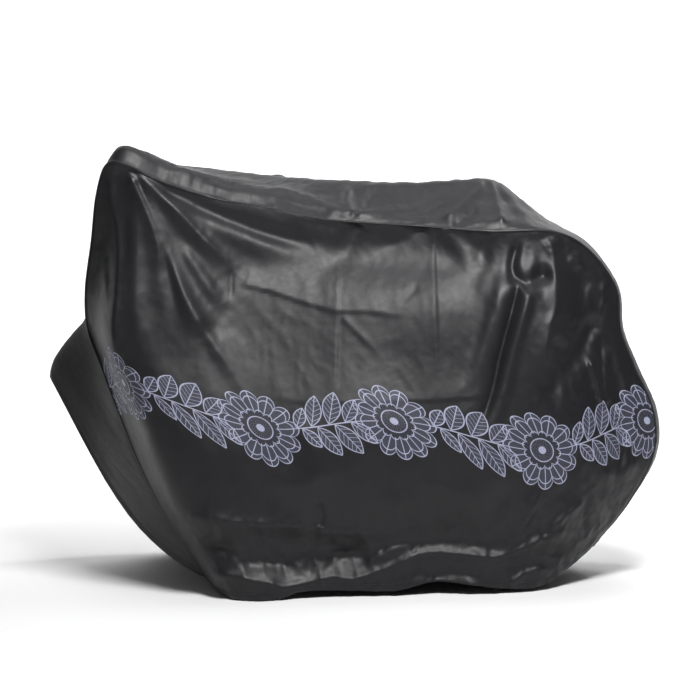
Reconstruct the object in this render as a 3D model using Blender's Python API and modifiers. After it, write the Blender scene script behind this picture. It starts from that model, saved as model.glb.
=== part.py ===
"""Fitted bicycle cover, as it hangs over a bicycle that stands side on and faces -X.

Three sheets of thin cloth: a near side panel, a far side panel, and one long gusset strip
that runs between them from the front hem, up over both handlebar grips, along the top, over
the saddle and down the rear. The bicycle itself isn't modelled, so the cover is hollow and
open below. Metres, +Z up, the ground at Z = 0, the near side towards -Y.
"""

from typing import NamedTuple

import bpy
import numpy as np

THICKNESS = 0.0015  # of each sheet, hem included
CENTRE_X = 0.013  # moves the tables' middle, between the wheels, to the middle of the whole
SEAM_INSET = 0.0016  # how far each sheet's edge stops short of the seam line

LENGTH_CELLS = 36  # cells along a side panel, front to rear
HEIGHT_CELLS = 22  # cells up a side panel, hem to top seam
GUSSET_CELLS = 8  # cells across the gusset strip

FRONT_TURN = 0.13  # share of a side panel's length over which it turns to meet the front seam
REAR_TURN = 0.22  # the same at the rear
CROWN_ROUND = 0.25  # 0 makes the gusset a sharp tent, 1 a round arch
ROLL_FROM_SEAM = 0.08  # share of the gusset's half width from the near seam to its rolled edge
HEM_DIP = 0.054  # how far the front hem hangs out between the front wheel and its corners
HEM_DIP_SECTIONS = 4.0  # number of sections over which that dies out


class Section(NamedTuple):
    """One cross-section of the gusset strip, from seam to seam over its ridge.

    roll is how far the cloth just inside the near seam stands up, where it rolls over.
    """

    near: tuple
    ridge: tuple
    far: tuple
    roll: float = 0.0


# From the front hem, up the front, over the grips, along the top and down the rear.
SECTIONS = [
    Section(near=(-0.340, -0.205, 0.030), ridge=(-0.784, 0.190, 0.482), far=(-0.430, 0.325, 0.035)),
    Section(near=(-0.410, -0.192, 0.132), ridge=(-0.780, 0.187, 0.506), far=(-0.480, 0.318, 0.160)),
    Section(near=(-0.489, -0.165, 0.267), ridge=(-0.767, 0.175, 0.534), far=(-0.530, 0.300, 0.290)),
    Section(near=(-0.556, -0.125, 0.412), ridge=(-0.740, 0.155, 0.568), far=(-0.565, 0.285, 0.430)),
    Section(near=(-0.606, -0.080, 0.525), ridge=(-0.704, 0.120, 0.604), far=(-0.575, 0.280, 0.550)),
    Section(near=(-0.646, -0.030, 0.612), ridge=(-0.666, 0.085, 0.638), far=(-0.570, 0.275, 0.640)),
    Section(near=(-0.641, -0.085, 0.707), ridge=(-0.615, 0.050, 0.715), far=(-0.530, 0.275, 0.720)),
    Section(near=(-0.614, -0.150, 0.825), ridge=(-0.560, 0.035, 0.825), far=(-0.450, 0.275, 0.820)),
    Section(near=(-0.593, -0.205, 0.925), ridge=(-0.490, 0.020, 0.932), far=(-0.340, 0.270, 0.900)),
    Section(near=(-0.562, -0.245, 0.994), ridge=(-0.440, 0.012, 1.000), far=(-0.250, 0.262, 0.955), roll=0.022),
    Section(near=(-0.512, -0.252, 0.992), ridge=(-0.380, 0.005, 1.008), far=(-0.175, 0.255, 0.975), roll=0.036),
    Section(near=(-0.440, -0.228, 0.958), ridge=(-0.310, 0.020, 1.003), far=(-0.090, 0.235, 0.950), roll=0.034),
    Section(near=(-0.320, -0.188, 0.922), ridge=(-0.210, 0.040, 0.993), far=(0.000, 0.215, 0.920), roll=0.024),
    Section(near=(-0.180, -0.160, 0.898), ridge=(-0.105, 0.050, 0.985), far=(0.090, 0.200, 0.900), roll=0.016),
    Section(near=(-0.041, -0.145, 0.872), ridge=(0.000, 0.050, 0.980), far=(0.170, 0.190, 0.885), roll=0.010),
    Section(near=(0.157, -0.140, 0.860), ridge=(0.160, 0.030, 0.974), far=(0.260, 0.180, 0.870), roll=0.004),
    Section(near=(0.330, -0.160, 0.846), ridge=(0.345, 0.000, 0.972), far=(0.360, 0.170, 0.855), roll=0.006),
    Section(near=(0.473, -0.155, 0.846), ridge=(0.490, 0.000, 0.878), far=(0.475, 0.155, 0.846)),
    Section(near=(0.568, -0.118, 0.806), ridge=(0.588, 0.000, 0.822), far=(0.568, 0.120, 0.803)),
    Section(near=(0.642, -0.095, 0.712), ridge=(0.662, 0.000, 0.716), far=(0.642, 0.100, 0.710)),
    Section(near=(0.655, -0.085, 0.612), ridge=(0.676, 0.000, 0.612), far=(0.656, 0.090, 0.612)),
    Section(near=(0.690, -0.080, 0.520), ridge=(0.712, 0.000, 0.520), far=(0.690, 0.085, 0.520)),
    Section(near=(0.738, -0.080, 0.410), ridge=(0.760, 0.000, 0.410), far=(0.738, 0.085, 0.410)),
    Section(near=(0.736, -0.085, 0.300), ridge=(0.760, 0.000, 0.302), far=(0.738, 0.090, 0.300)),
    Section(near=(0.672, -0.092, 0.185), ridge=(0.698, 0.000, 0.192), far=(0.675, 0.095, 0.185)),
    Section(near=(0.589, -0.100, 0.086), ridge=(0.618, 0.000, 0.100), far=(0.590, 0.105, 0.080)),
]
GRIP_SECTION = 9.6  # section number at the handlebar grips, where a side panel's top edge starts
SHOULDER_SECTION = 17.0  # section number behind the saddle, where its rear edge starts

# Each side panel's hem between the gusset's two ends: x, y, z, front to rear.
NEAR_HEM = [
    (-0.340, -0.205, 0.030),
    (-0.296, -0.285, 0.006),
    (-0.238, -0.330, 0.001),
    (-0.165, -0.322, 0.001),
    (-0.108, -0.300, 0.016),
    (0.000, -0.282, 0.014),
    (0.105, -0.275, 0.012),
    (0.196, -0.258, 0.030),
    (0.285, -0.262, 0.022),
    (0.369, -0.242, 0.010),
    (0.455, -0.205, 0.012),
    (0.535, -0.145, 0.052),
    (0.589, -0.100, 0.086),
]
FAR_HEM = [
    (-0.430, 0.325, 0.035),
    (-0.330, 0.300, 0.012),
    (-0.200, 0.285, 0.006),
    (-0.060, 0.300, 0.010),
    (0.100, 0.275, 0.006),
    (0.250, 0.285, 0.012),
    (0.400, 0.230, 0.008),
    (0.520, 0.160, 0.040),
    (0.590, 0.105, 0.080),
]


class Swell(NamedTuple):
    """A broad swelling (or hollow, where out is negative) of a side panel."""

    x: float
    z: float
    half_length: float
    half_height: float
    out: float


class Fold(NamedTuple):
    """A ridge of a side panel (or trough, where out is negative) along a bowed line in X and Z.

    The widths are how far it falls away to its left and right, seen along the line, at the
    end; spread is the width at the start as a share of that. bow moves the line's middle to
    its right. fade is the share of the line over which it dies out, at its start and end.
    """

    start: tuple
    end: tuple
    out: tuple
    left: float
    right: float
    spread: float = 1.0
    bow: float = 0.0
    fade: tuple = (0.25, 0.35)


NEAR_SWELLS = [
    Swell(x=0.05, z=0.37, half_length=0.52, half_height=0.26, out=0.075),
    Swell(x=0.08, z=0.79, half_length=0.36, half_height=0.07, out=-0.026),
    Swell(x=0.20, z=0.66, half_length=0.26, half_height=0.12, out=0.020),
    Swell(x=0.05, z=0.11, half_length=0.50, half_height=0.07, out=-0.030),
    Swell(x=-0.45, z=0.62, half_length=0.12, half_height=0.30, out=0.015),
    Swell(x=0.44, z=0.62, half_length=0.10, half_height=0.22, out=0.030),
]
NEAR_FOLDS = [
    # The front corner, under the grip.
    Fold((-0.552, 0.985), (-0.536, 0.480), (0.008, 0.034), 0.045, 0.045, 0.9, -0.012, (0.3, 0.4)),
    # The fan that hangs from the grip.
    Fold((-0.520, 0.985), (-0.170, 0.440), (0.020, 0.022), 0.060, 0.080, 0.6, 0.016, (0.25, 0.5)),
    Fold((-0.500, 0.975), (-0.215, 0.745), (0.014, 0.020), 0.045, 0.065, 0.8, 0.010, (0.3, 0.4)),
    Fold((-0.525, 0.960), (-0.405, 0.640), (-0.008, -0.014), 0.040, 0.040, 1.0, 0.008, (0.3, 0.4)),
    Fold((-0.440, 0.925), (-0.040, 0.790), (0.010, 0.012), 0.040, 0.050, 0.9, 0.010, (0.2, 0.5)),
    # The tuck on the right and the rear corner below the shoulder.
    Fold((0.395, 0.730), (0.285, 0.350), (-0.032, -0.020), 0.036, 0.034, 1.1, 0.010, (0.3, 0.4)),
    Fold((0.470, 0.835), (0.455, 0.470), (0.016, 0.026), 0.045, 0.040, 0.9, 0.014, (0.2, 0.4)),
    Fold((0.600, 0.640), (0.500, 0.455), (-0.022, -0.012), 0.040, 0.040, 0.9, 0.0, (0.3, 0.4)),
    Fold((0.565, 0.530), (0.600, 0.405), (0.014, 0.020), 0.040, 0.035, 0.9, 0.0, (0.3, 0.3)),
    # The gathers above the hem.
    Fold((-0.330, 0.190), (0.085, 0.150), (0.020, 0.012), 0.040, 0.055, 1.0, 0.0, (0.25, 0.25)),
    Fold((-0.340, 0.065), (0.170, 0.095), (0.016, 0.018), 0.035, 0.035, 1.0, 0.016, (0.3, 0.3)),
    Fold((0.115, 0.085), (0.520, 0.120), (0.020, 0.018), 0.035, 0.040, 1.0, -0.012, (0.3, 0.3)),
    Fold((0.350, 0.110), (0.450, 0.260), (0.014, 0.014), 0.040, 0.035, 1.0, 0.0, (0.3, 0.3)),
]
FAR_SWELLS = [
    Swell(x=0.10, z=0.38, half_length=0.50, half_height=0.28, out=0.060),
    Swell(x=0.15, z=0.80, half_length=0.34, half_height=0.06, out=-0.020),
    Swell(x=0.08, z=0.11, half_length=0.50, half_height=0.07, out=-0.022),
]
FAR_FOLDS = [
    Fold((-0.190, 0.965), (-0.330, 0.350), (0.014, 0.026), 0.060, 0.050, 0.8, 0.01, (0.25, 0.4)),
    Fold((-0.215, 0.955), (-0.500, 0.480), (0.010, 0.020), 0.045, 0.050, 0.9, -0.01, (0.25, 0.4)),
    Fold((-0.150, 0.955), (0.080, 0.520), (0.014, 0.020), 0.055, 0.060, 0.8, 0.01, (0.25, 0.5)),
    Fold((0.350, 0.850), (0.260, 0.350), (0.014, 0.022), 0.045, 0.055, 0.9, 0.0, (0.2, 0.5)),
    Fold((0.460, 0.830), (0.450, 0.400), (0.012, 0.024), 0.040, 0.040, 1.0, 0.0, (0.2, 0.5)),
    Fold((-0.300, 0.150), (0.150, 0.120), (0.018, 0.014), 0.035, 0.045, 1.0, 0.0, (0.2, 0.3)),
    Fold((0.180, 0.090), (0.500, 0.130), (0.018, 0.016), 0.030, 0.040, 1.0, 0.0, (0.2, 0.3)),
]


class Peak(NamedTuple):
    """A point over which the gusset is drawn up, such as a grip: place, reach and rise."""

    x: float
    y: float
    reach: float
    rise: float


PEAKS = [
    Peak(x=-0.528, y=-0.232, reach=0.034, rise=0.012),
    Peak(x=-0.185, y=0.228, reach=0.050, rise=0.034),
    Peak(x=0.360, y=0.000, reach=0.045, rise=0.008),
]


def through(rows, at):
    """The Catmull-Rom curve through the rows, read at fractional row numbers."""
    rows = np.asarray(rows, float)
    at = np.asarray(at, float)
    ends = (2 * rows[:1] - rows[1:2], 2 * rows[-1:] - rows[-2:-1])
    padded = np.concatenate([ends[0], rows, ends[1]])
    low = np.clip(np.floor(at).astype(int), 0, len(rows) - 2)
    t = (at - low)[..., None]
    a, b, c, d = (padded[low + step] for step in range(4))
    cubic = (2 * a - 5 * b + 4 * c - d) * t**2 + (3 * b - a - 3 * c + d) * t**3
    return 0.5 * (2 * b + (c - a) * t + cubic)


def evenly(rows, start, stop, cells):
    """Row numbers from start to stop that cut the curve through the rows into equal lengths."""
    fine = np.linspace(start, stop, 400)
    steps = np.linalg.norm(np.diff(through(rows, fine), axis=0), axis=1)
    run = np.concatenate([[0.0], np.cumsum(steps)])
    return np.interp(np.linspace(0, run[-1], cells + 1), run, fine)


def eased(value):
    """0 below 0, 1 above 1, and smooth between."""
    value = np.clip(value, 0, 1)
    return value * value * (3 - 2 * value)


def swell_height(swell, x, z):
    """How far out a swell moves each point."""
    reach = ((x - swell.x) / swell.half_length) ** 2 + ((z - swell.z) / swell.half_height) ** 2
    return swell.out * np.exp(-reach)


def fold_height(fold, x, z):
    """How far out a fold moves each point."""
    start, end = np.array(fold.start), np.array(fold.end)
    length = np.linalg.norm(end - start)
    along = (end - start) / length
    t = ((x - start[0]) * along[0] + (z - start[1]) * along[1]) / length
    aside = (x - start[0]) * along[1] - (z - start[1]) * along[0]
    inside = np.clip(t, 0, 1)
    aside = aside - 4 * fold.bow * inside * (1 - inside)
    width = np.where(aside < 0, fold.left, fold.right) * (fold.spread + (1 - fold.spread) * inside)
    out = fold.out[0] + (fold.out[1] - fold.out[0]) * inside
    fade = eased(t / fold.fade[0] + 0.5) * eased((1 - t) / fold.fade[1] + 0.5)
    return out * fade * np.exp(-((aside / width) ** 2))


def seam_numbers():
    """Section numbers along a seam: up the front, along the top, down the rear."""
    near = [section.near for section in SECTIONS]
    last = len(SECTIONS) - 1
    front = evenly(near, 0, GRIP_SECTION, HEIGHT_CELLS)
    top = evenly(near, GRIP_SECTION, SHOULDER_SECTION, LENGTH_CELLS)
    rear = evenly(near, SHOULDER_SECTION, last, HEIGHT_CELLS)
    return front, top, rear


def side_grid(seam, hem, outward, swells, folds):
    """A side panel's points: hem to top seam, front to rear.

    X and Z are a Coons patch between the hem and the three stretches of the seam. Y runs
    straight from the hem to the top seam, swells and folds outward, and turns to meet the
    seam at the front and rear.
    """
    numbers = seam_numbers()
    front, top, rear = (through(seam, stretch) for stretch in numbers)
    rear = rear[::-1]
    bottom = through(hem, evenly(hem, 0, len(hem) - 1, LENGTH_CELLS))
    u = np.linspace(0, 1, LENGTH_CELLS + 1)[None, :, None]
    v = np.linspace(0, 1, HEIGHT_CELLS + 1)[:, None, None]
    rise = (1 - v) * bottom[None] + v * top[None]
    run = (1 - u) * front[:, None] + u * rear[:, None]
    corners = (1 - u) * ((1 - v) * bottom[0] + v * top[0]) + u * ((1 - v) * bottom[-1] + v * top[-1])
    grid = rise + run - corners
    x, z = grid[..., 0], grid[..., 2]
    y = rise[..., 1] + outward * sum(swell_height(swell, x, z) for swell in swells) * hold(v)
    u, v = u[..., 0], v[..., 0]
    at_front = (1 - eased(u / FRONT_TURN)) ** 1.5
    at_rear = (1 - eased((1 - u) / REAR_TURN)) ** 1.5
    y = y + at_front * (front[:, 1:2] - y[:, :1]) + at_rear * (rear[:, 1:2] - y[:, -1:])
    border = eased(u / 0.06) * eased((1 - u) / 0.06) * eased((1 - v) / 0.06)
    grid[..., 1] = y + outward * border * sum(fold_height(fold, x, z) for fold in folds)
    return grid


def hold(v):
    """Full inside a panel and nothing at its hem and top seam."""
    return (eased(v / 0.12) * eased((1 - v) / 0.05))[..., 0]


def gusset_grid():
    """The strip's points: front hem to rear hem, near seam to far seam.

    Each section is the chord between its two seams, lifted towards its ridge as a tent with
    a rounded crown. It rolls up beside the near seam, is drawn up over the peaks, and the
    front hem hangs out on both sides of the front wheel.
    """
    numbers = np.concatenate([part[: len(part) - last] for part, last in zip(seam_numbers(), (1, 1, 0))])
    near, ridge, far = (through([section[k] for section in SECTIONS], numbers) for k in range(3))
    roll = through([(section.roll,) for section in SECTIONS], numbers)
    t = np.sin(np.linspace(-np.pi / 2, np.pi / 2, GUSSET_CELLS + 1))
    across = t[None, :, None]
    chord = (1 - across) / 2 * near[:, None] + (1 + across) / 2 * far[:, None]
    tent = np.sqrt(1 + CROWN_ROUND**2) - np.sqrt(across**2 + CROWN_ROUND**2)
    tent = tent / (np.sqrt(1 + CROWN_ROUND**2) - CROWN_ROUND)
    grid = chord + tent * (ridge - (near + far) / 2)[:, None]
    from_roll = (t + 1 - ROLL_FROM_SEAM) / np.where(t + 1 < ROLL_FROM_SEAM, ROLL_FROM_SEAM / 2, 0.35)
    free_edge = 1 - np.abs(t) ** 24
    grid[..., 2] += roll * np.exp(-(from_roll**2)) * free_edge
    for peak in PEAKS:
        reach = ((grid[..., 0] - peak.x) ** 2 + (grid[..., 1] - peak.y) ** 2) / peak.reach**2
        grid[..., 2] += peak.rise * np.exp(-reach) * (grid[..., 2] > 0.8) * free_edge
    dip = HEM_DIP * np.clip(1 - numbers / HEM_DIP_SECTIONS, 0, 1)[:, None] ** 2 * 4 * t**2 * (1 - t**2)
    grid[..., 0] -= 0.8 * dip
    grid[..., 2] -= 0.6 * dip
    return grid


def pulled_in(grid, sides):
    """The grid with the named border rows or columns moved inwards by the seam inset."""
    for axis, edge, inner in sides:
        border = [slice(None), slice(None)]
        next_in = [slice(None), slice(None)]
        border[axis] = edge
        next_in[axis] = inner
        step = grid[tuple(next_in)] - grid[tuple(border)]
        grid[tuple(border)] += SEAM_INSET * step / np.linalg.norm(step, axis=-1, keepdims=True)
    return grid


def cloth_material(name, colour, roughness):
    """A plain cloth material."""
    material = bpy.data.materials.new(name)
    material.use_nodes = True
    shader = material.node_tree.nodes["Principled BSDF"]
    shader.inputs["Base Color"].default_value = (*colour, 1)
    shader.inputs["Roughness"].default_value = roughness
    shader.inputs["Metallic"].default_value = 0
    return material


def sheet(name, grid, turned, material, collection):
    """A grid of points as an open surface with a Solidify of the cloth's thickness."""
    grid = grid + np.array([CENTRE_X, 0, 0])
    rows, columns = grid.shape[:2]
    index = np.arange(rows * columns).reshape(rows, columns)
    loops = [index[:-1, :-1], index[:-1, 1:], index[1:, 1:], index[1:, :-1]]
    faces = np.stack(loops[::-1] if turned else loops, axis=-1).reshape(-1, 4)
    mesh = bpy.data.meshes.new(name)
    mesh.from_pydata(grid.reshape(-1, 3).tolist(), [], faces.tolist())
    mesh.materials.append(material)
    mesh.shade_smooth()
    piece = bpy.data.objects.new(name, mesh)
    collection.objects.link(piece)
    solid = piece.modifiers.new("cloth thickness", "SOLIDIFY")
    solid.thickness = THICKNESS
    solid.offset = 0
    return piece


def main():
    for old in list(bpy.data.objects):
        bpy.data.objects.remove(old, do_unlink=True)
    parts = bpy.data.collections.new("bicycle_cover")
    bpy.context.scene.collection.children.link(parts)

    near_seam = [section.near for section in SECTIONS]
    far_seam = [section.far for section in SECTIONS]
    near = side_grid(near_seam, NEAR_HEM, -1, NEAR_SWELLS, NEAR_FOLDS)
    far = side_grid(far_seam, FAR_HEM, 1, FAR_SWELLS, FAR_FOLDS)
    panel_seams = [(0, -1, -2), (1, 0, 1), (1, -1, -2)]
    gusset_seams = [(1, 0, 1), (1, -1, -2)]
    coated = cloth_material("coated_cloth", (0.012, 0.012, 0.014), 0.35)
    dull = cloth_material("dull_cloth", (0.010, 0.010, 0.009), 0.6)
    sheet("near_side_panel", pulled_in(near, panel_seams), False, coated, parts)
    sheet("far_side_panel", pulled_in(far, panel_seams), True, coated, parts)
    sheet("top_gusset", pulled_in(gusset_grid(), gusset_seams), True, dull, parts)


main()
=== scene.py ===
"""Looks of a fitted bicycle cover of thin black coated polyester.

The cover hangs over a bicycle that stands side on and faces -X. Two side panels and a gusset
strip are worked out again here as fine cloth sheets, on the shape that the CAD holds, with
their folds, packing creases, hems, seams, stitches and printed band. Lengths are in metres.
"""

import logging
import math
from dataclasses import dataclass, field
from enum import Enum
from typing import NamedTuple, Sequence

import bpy
import numpy as np
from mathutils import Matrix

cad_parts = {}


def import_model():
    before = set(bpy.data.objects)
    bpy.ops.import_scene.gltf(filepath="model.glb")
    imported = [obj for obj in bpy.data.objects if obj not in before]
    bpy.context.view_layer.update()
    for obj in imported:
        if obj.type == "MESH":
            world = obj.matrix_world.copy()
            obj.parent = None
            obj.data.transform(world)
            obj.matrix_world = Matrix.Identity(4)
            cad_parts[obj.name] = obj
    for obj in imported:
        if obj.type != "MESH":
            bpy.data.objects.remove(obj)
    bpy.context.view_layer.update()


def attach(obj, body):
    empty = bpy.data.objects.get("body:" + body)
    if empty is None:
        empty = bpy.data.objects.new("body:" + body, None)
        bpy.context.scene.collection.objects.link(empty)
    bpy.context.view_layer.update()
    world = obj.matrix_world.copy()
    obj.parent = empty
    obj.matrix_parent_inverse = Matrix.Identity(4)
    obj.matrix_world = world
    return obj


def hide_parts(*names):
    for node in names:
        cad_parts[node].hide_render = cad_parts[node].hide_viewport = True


LOG = logging.getLogger("bicycle_cover")

Point = tuple[float, float, float]
Spot = tuple[float, float]
Array = np.ndarray

CENTRE_X = 0.013  # from the tables' middle, between the wheels, to the middle of the whole
CAMERA_HEIGHT = 0.68


# ----------------------------------------------------------------------------- shape tables


class Section(NamedTuple):
    """One cross-section of the gusset strip, from seam to seam over its ridge.

    roll is how far the cloth just inside the near seam stands up, where it rolls over.
    """

    near: Point
    ridge: Point
    far: Point
    roll: float = 0.0


# From the front hem, up the front, over the grips, along the top and down the rear.
SECTIONS = [
    Section((-0.34, -0.205, 0.03), (-0.784, 0.19, 0.482), (-0.43, 0.325, 0.035)),
    Section((-0.41, -0.192, 0.132), (-0.78, 0.187, 0.506), (-0.48, 0.318, 0.16)),
    Section((-0.489, -0.165, 0.267), (-0.767, 0.175, 0.534), (-0.53, 0.3, 0.29)),
    Section((-0.556, -0.125, 0.412), (-0.74, 0.155, 0.568), (-0.565, 0.285, 0.43)),
    Section((-0.606, -0.08, 0.525), (-0.704, 0.12, 0.604), (-0.575, 0.28, 0.55)),
    Section((-0.646, -0.03, 0.612), (-0.666, 0.085, 0.638), (-0.57, 0.275, 0.64)),
    Section((-0.641, -0.085, 0.707), (-0.615, 0.05, 0.715), (-0.53, 0.275, 0.72)),
    Section((-0.614, -0.15, 0.825), (-0.56, 0.035, 0.825), (-0.45, 0.275, 0.82)),
    Section((-0.593, -0.205, 0.925), (-0.49, 0.02, 0.932), (-0.34, 0.27, 0.9)),
    Section((-0.562, -0.245, 0.994), (-0.44, 0.012, 1.0), (-0.25, 0.262, 0.955), 0.022),
    Section((-0.512, -0.252, 0.992), (-0.38, 0.005, 1.008), (-0.175, 0.255, 0.975), 0.036),
    Section((-0.44, -0.228, 0.958), (-0.31, 0.02, 1.003), (-0.09, 0.235, 0.95), 0.034),
    Section((-0.32, -0.188, 0.922), (-0.21, 0.04, 0.993), (0.0, 0.215, 0.92), 0.024),
    Section((-0.18, -0.16, 0.898), (-0.105, 0.05, 0.985), (0.09, 0.2, 0.9), 0.016),
    Section((-0.041, -0.145, 0.872), (0.0, 0.05, 0.98), (0.17, 0.19, 0.885), 0.01),
    Section((0.157, -0.14, 0.86), (0.16, 0.03, 0.974), (0.26, 0.18, 0.87), 0.004),
    Section((0.33, -0.16, 0.846), (0.345, 0.0, 0.972), (0.36, 0.17, 0.855), 0.006),
    Section((0.473, -0.155, 0.846), (0.49, 0.0, 0.878), (0.475, 0.155, 0.846)),
    Section((0.568, -0.118, 0.806), (0.588, 0.0, 0.822), (0.568, 0.12, 0.803)),
    Section((0.642, -0.095, 0.712), (0.662, 0.0, 0.716), (0.642, 0.1, 0.71)),
    Section((0.655, -0.085, 0.612), (0.676, 0.0, 0.612), (0.656, 0.09, 0.612)),
    Section((0.69, -0.08, 0.52), (0.712, 0.0, 0.52), (0.69, 0.085, 0.52)),
    Section((0.738, -0.08, 0.41), (0.76, 0.0, 0.41), (0.738, 0.085, 0.41)),
    Section((0.736, -0.085, 0.3), (0.76, 0.0, 0.302), (0.738, 0.09, 0.3)),
    Section((0.672, -0.092, 0.185), (0.698, 0.0, 0.192), (0.675, 0.095, 0.185)),
    Section((0.589, -0.1, 0.086), (0.618, 0.0, 0.1), (0.59, 0.105, 0.08)),
]
GRIP_SECTION = 9.6
SHOULDER_SECTION = 17.0

# Each side panel's hem between the gusset's two ends: x, y, z, front to rear.
NEAR_HEM: list[Point] = [
    (-0.34, -0.205, 0.03),
    (-0.296, -0.285, 0.006),
    (-0.238, -0.33, 0.001),
    (-0.165, -0.322, 0.001),
    (-0.108, -0.3, 0.016),
    (0.0, -0.282, 0.014),
    (0.105, -0.275, 0.012),
    (0.196, -0.258, 0.03),
    (0.285, -0.262, 0.022),
    (0.369, -0.242, 0.01),
    (0.455, -0.205, 0.012),
    (0.535, -0.145, 0.052),
    (0.589, -0.1, 0.086),
]
FAR_HEM: list[Point] = [
    (-0.43, 0.325, 0.035),
    (-0.33, 0.3, 0.012),
    (-0.2, 0.285, 0.006),
    (-0.06, 0.3, 0.01),
    (0.1, 0.275, 0.006),
    (0.25, 0.285, 0.012),
    (0.4, 0.23, 0.008),
    (0.52, 0.16, 0.04),
    (0.59, 0.105, 0.08),
]


class Swell(NamedTuple):
    """A broad swelling (or hollow, where out is negative) of a side panel."""

    x: float
    z: float
    half_length: float
    half_height: float
    out: float


class Edge(Enum):
    """How a fold falls away from its line: as a soft wave, or as a tent with a crisp edge."""

    SOFT = 1.0
    CRISP = 0.18


class Fold(NamedTuple):
    """A ridge of cloth (or trough, where out is negative) along a smooth line in X and Z.

    out is its height at the line's start and end. left and right are how far it falls away
    to each side, seen along the line, at its end, and spread is that at the start as a share.
    fade is the share of the line over which it dies out at its start and end.
    """

    line: Sequence[Spot]
    out: Spot
    left: float
    right: float
    spread: float = 1.0
    fade: Spot = (0.2, 0.35)
    edge: Edge = Edge.SOFT


NEAR_SWELLS = [
    Swell(x=0.05, z=0.37, half_length=0.52, half_height=0.26, out=0.075),
    Swell(x=0.08, z=0.79, half_length=0.36, half_height=0.07, out=-0.026),
    Swell(x=0.2, z=0.66, half_length=0.26, half_height=0.12, out=0.02),
    Swell(x=0.05, z=0.11, half_length=0.5, half_height=0.07, out=-0.03),
    Swell(x=-0.45, z=0.62, half_length=0.12, half_height=0.3, out=0.015),
    Swell(x=0.44, z=0.62, half_length=0.1, half_height=0.22, out=0.03),
]
NEAR_CORNER = [
    # The front corner under the grip, and the short creases that face forward beside it.
    Fold([(-0.56, 0.99), (-0.553, 0.913), (-0.537, 0.817), (-0.538, 0.7), (-0.543, 0.6), (-0.535, 0.44)],
         (0.01, 0.034), 0.036, 0.045, 0.45, (0.08, 0.4), Edge.CRISP),
    Fold([(-0.585, 0.76), (-0.572, 0.72), (-0.578, 0.66)], (0.007, 0.006), 0.01, 0.013, 1.0, (0.3, 0.4)),
    Fold([(-0.566, 0.8), (-0.56, 0.7)], (-0.006, -0.005), 0.01, 0.01),
]
NEAR_FAN = [
    # The folds that fan out from the grip, from the front corner round to the top seam.
    Fold([(-0.517, 0.985), (-0.482, 0.915), (-0.447, 0.822), (-0.431, 0.74)],
         (0.004, 0.008), 0.014, 0.012, 0.5, (0.1, 0.3), Edge.CRISP),
    Fold([(-0.512, 0.985), (-0.455, 0.864), (-0.378, 0.687), (-0.262, 0.496), (-0.215, 0.42)],
         (0.012, 0.03), 0.045, 0.085, 0.25, (0.06, 0.35), Edge.CRISP),
    Fold([(-0.5, 0.985), (-0.47, 0.9), (-0.432, 0.8), (-0.405, 0.7), (-0.385, 0.6)],
         (-0.006, -0.014), 0.018, 0.022, 0.35, (0.1, 0.4)),
    Fold([(-0.494, 0.985), (-0.408, 0.897), (-0.326, 0.81), (-0.25, 0.745)],
         (0.01, 0.022), 0.028, 0.055, 0.3, (0.06, 0.35), Edge.CRISP),
    Fold([(-0.405, 0.829), (-0.356, 0.757), (-0.284, 0.65)], (0.006, 0.01), 0.018, 0.022, 0.6, (0.3, 0.4)),
    Fold([(-0.47, 0.96), (-0.35, 0.893), (-0.2, 0.838), (-0.05, 0.806)],
         (-0.008, -0.014), 0.03, 0.022, 0.5, (0.15, 0.3)),
    Fold([(-0.44, 0.925), (-0.3, 0.858), (-0.16, 0.8), (-0.04, 0.78)],
         (0.006, 0.012), 0.024, 0.05, 0.5, (0.15, 0.4)),
    Fold([(-0.5, 0.93), (-0.495, 0.8), (-0.49, 0.64), (-0.47, 0.5)],
         (0.004, 0.012), 0.03, 0.03, 0.4, (0.2, 0.4)),
    Fold([(-0.35, 0.64), (-0.3, 0.54), (-0.235, 0.45)], (-0.01, -0.006), 0.03, 0.03),
]
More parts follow.
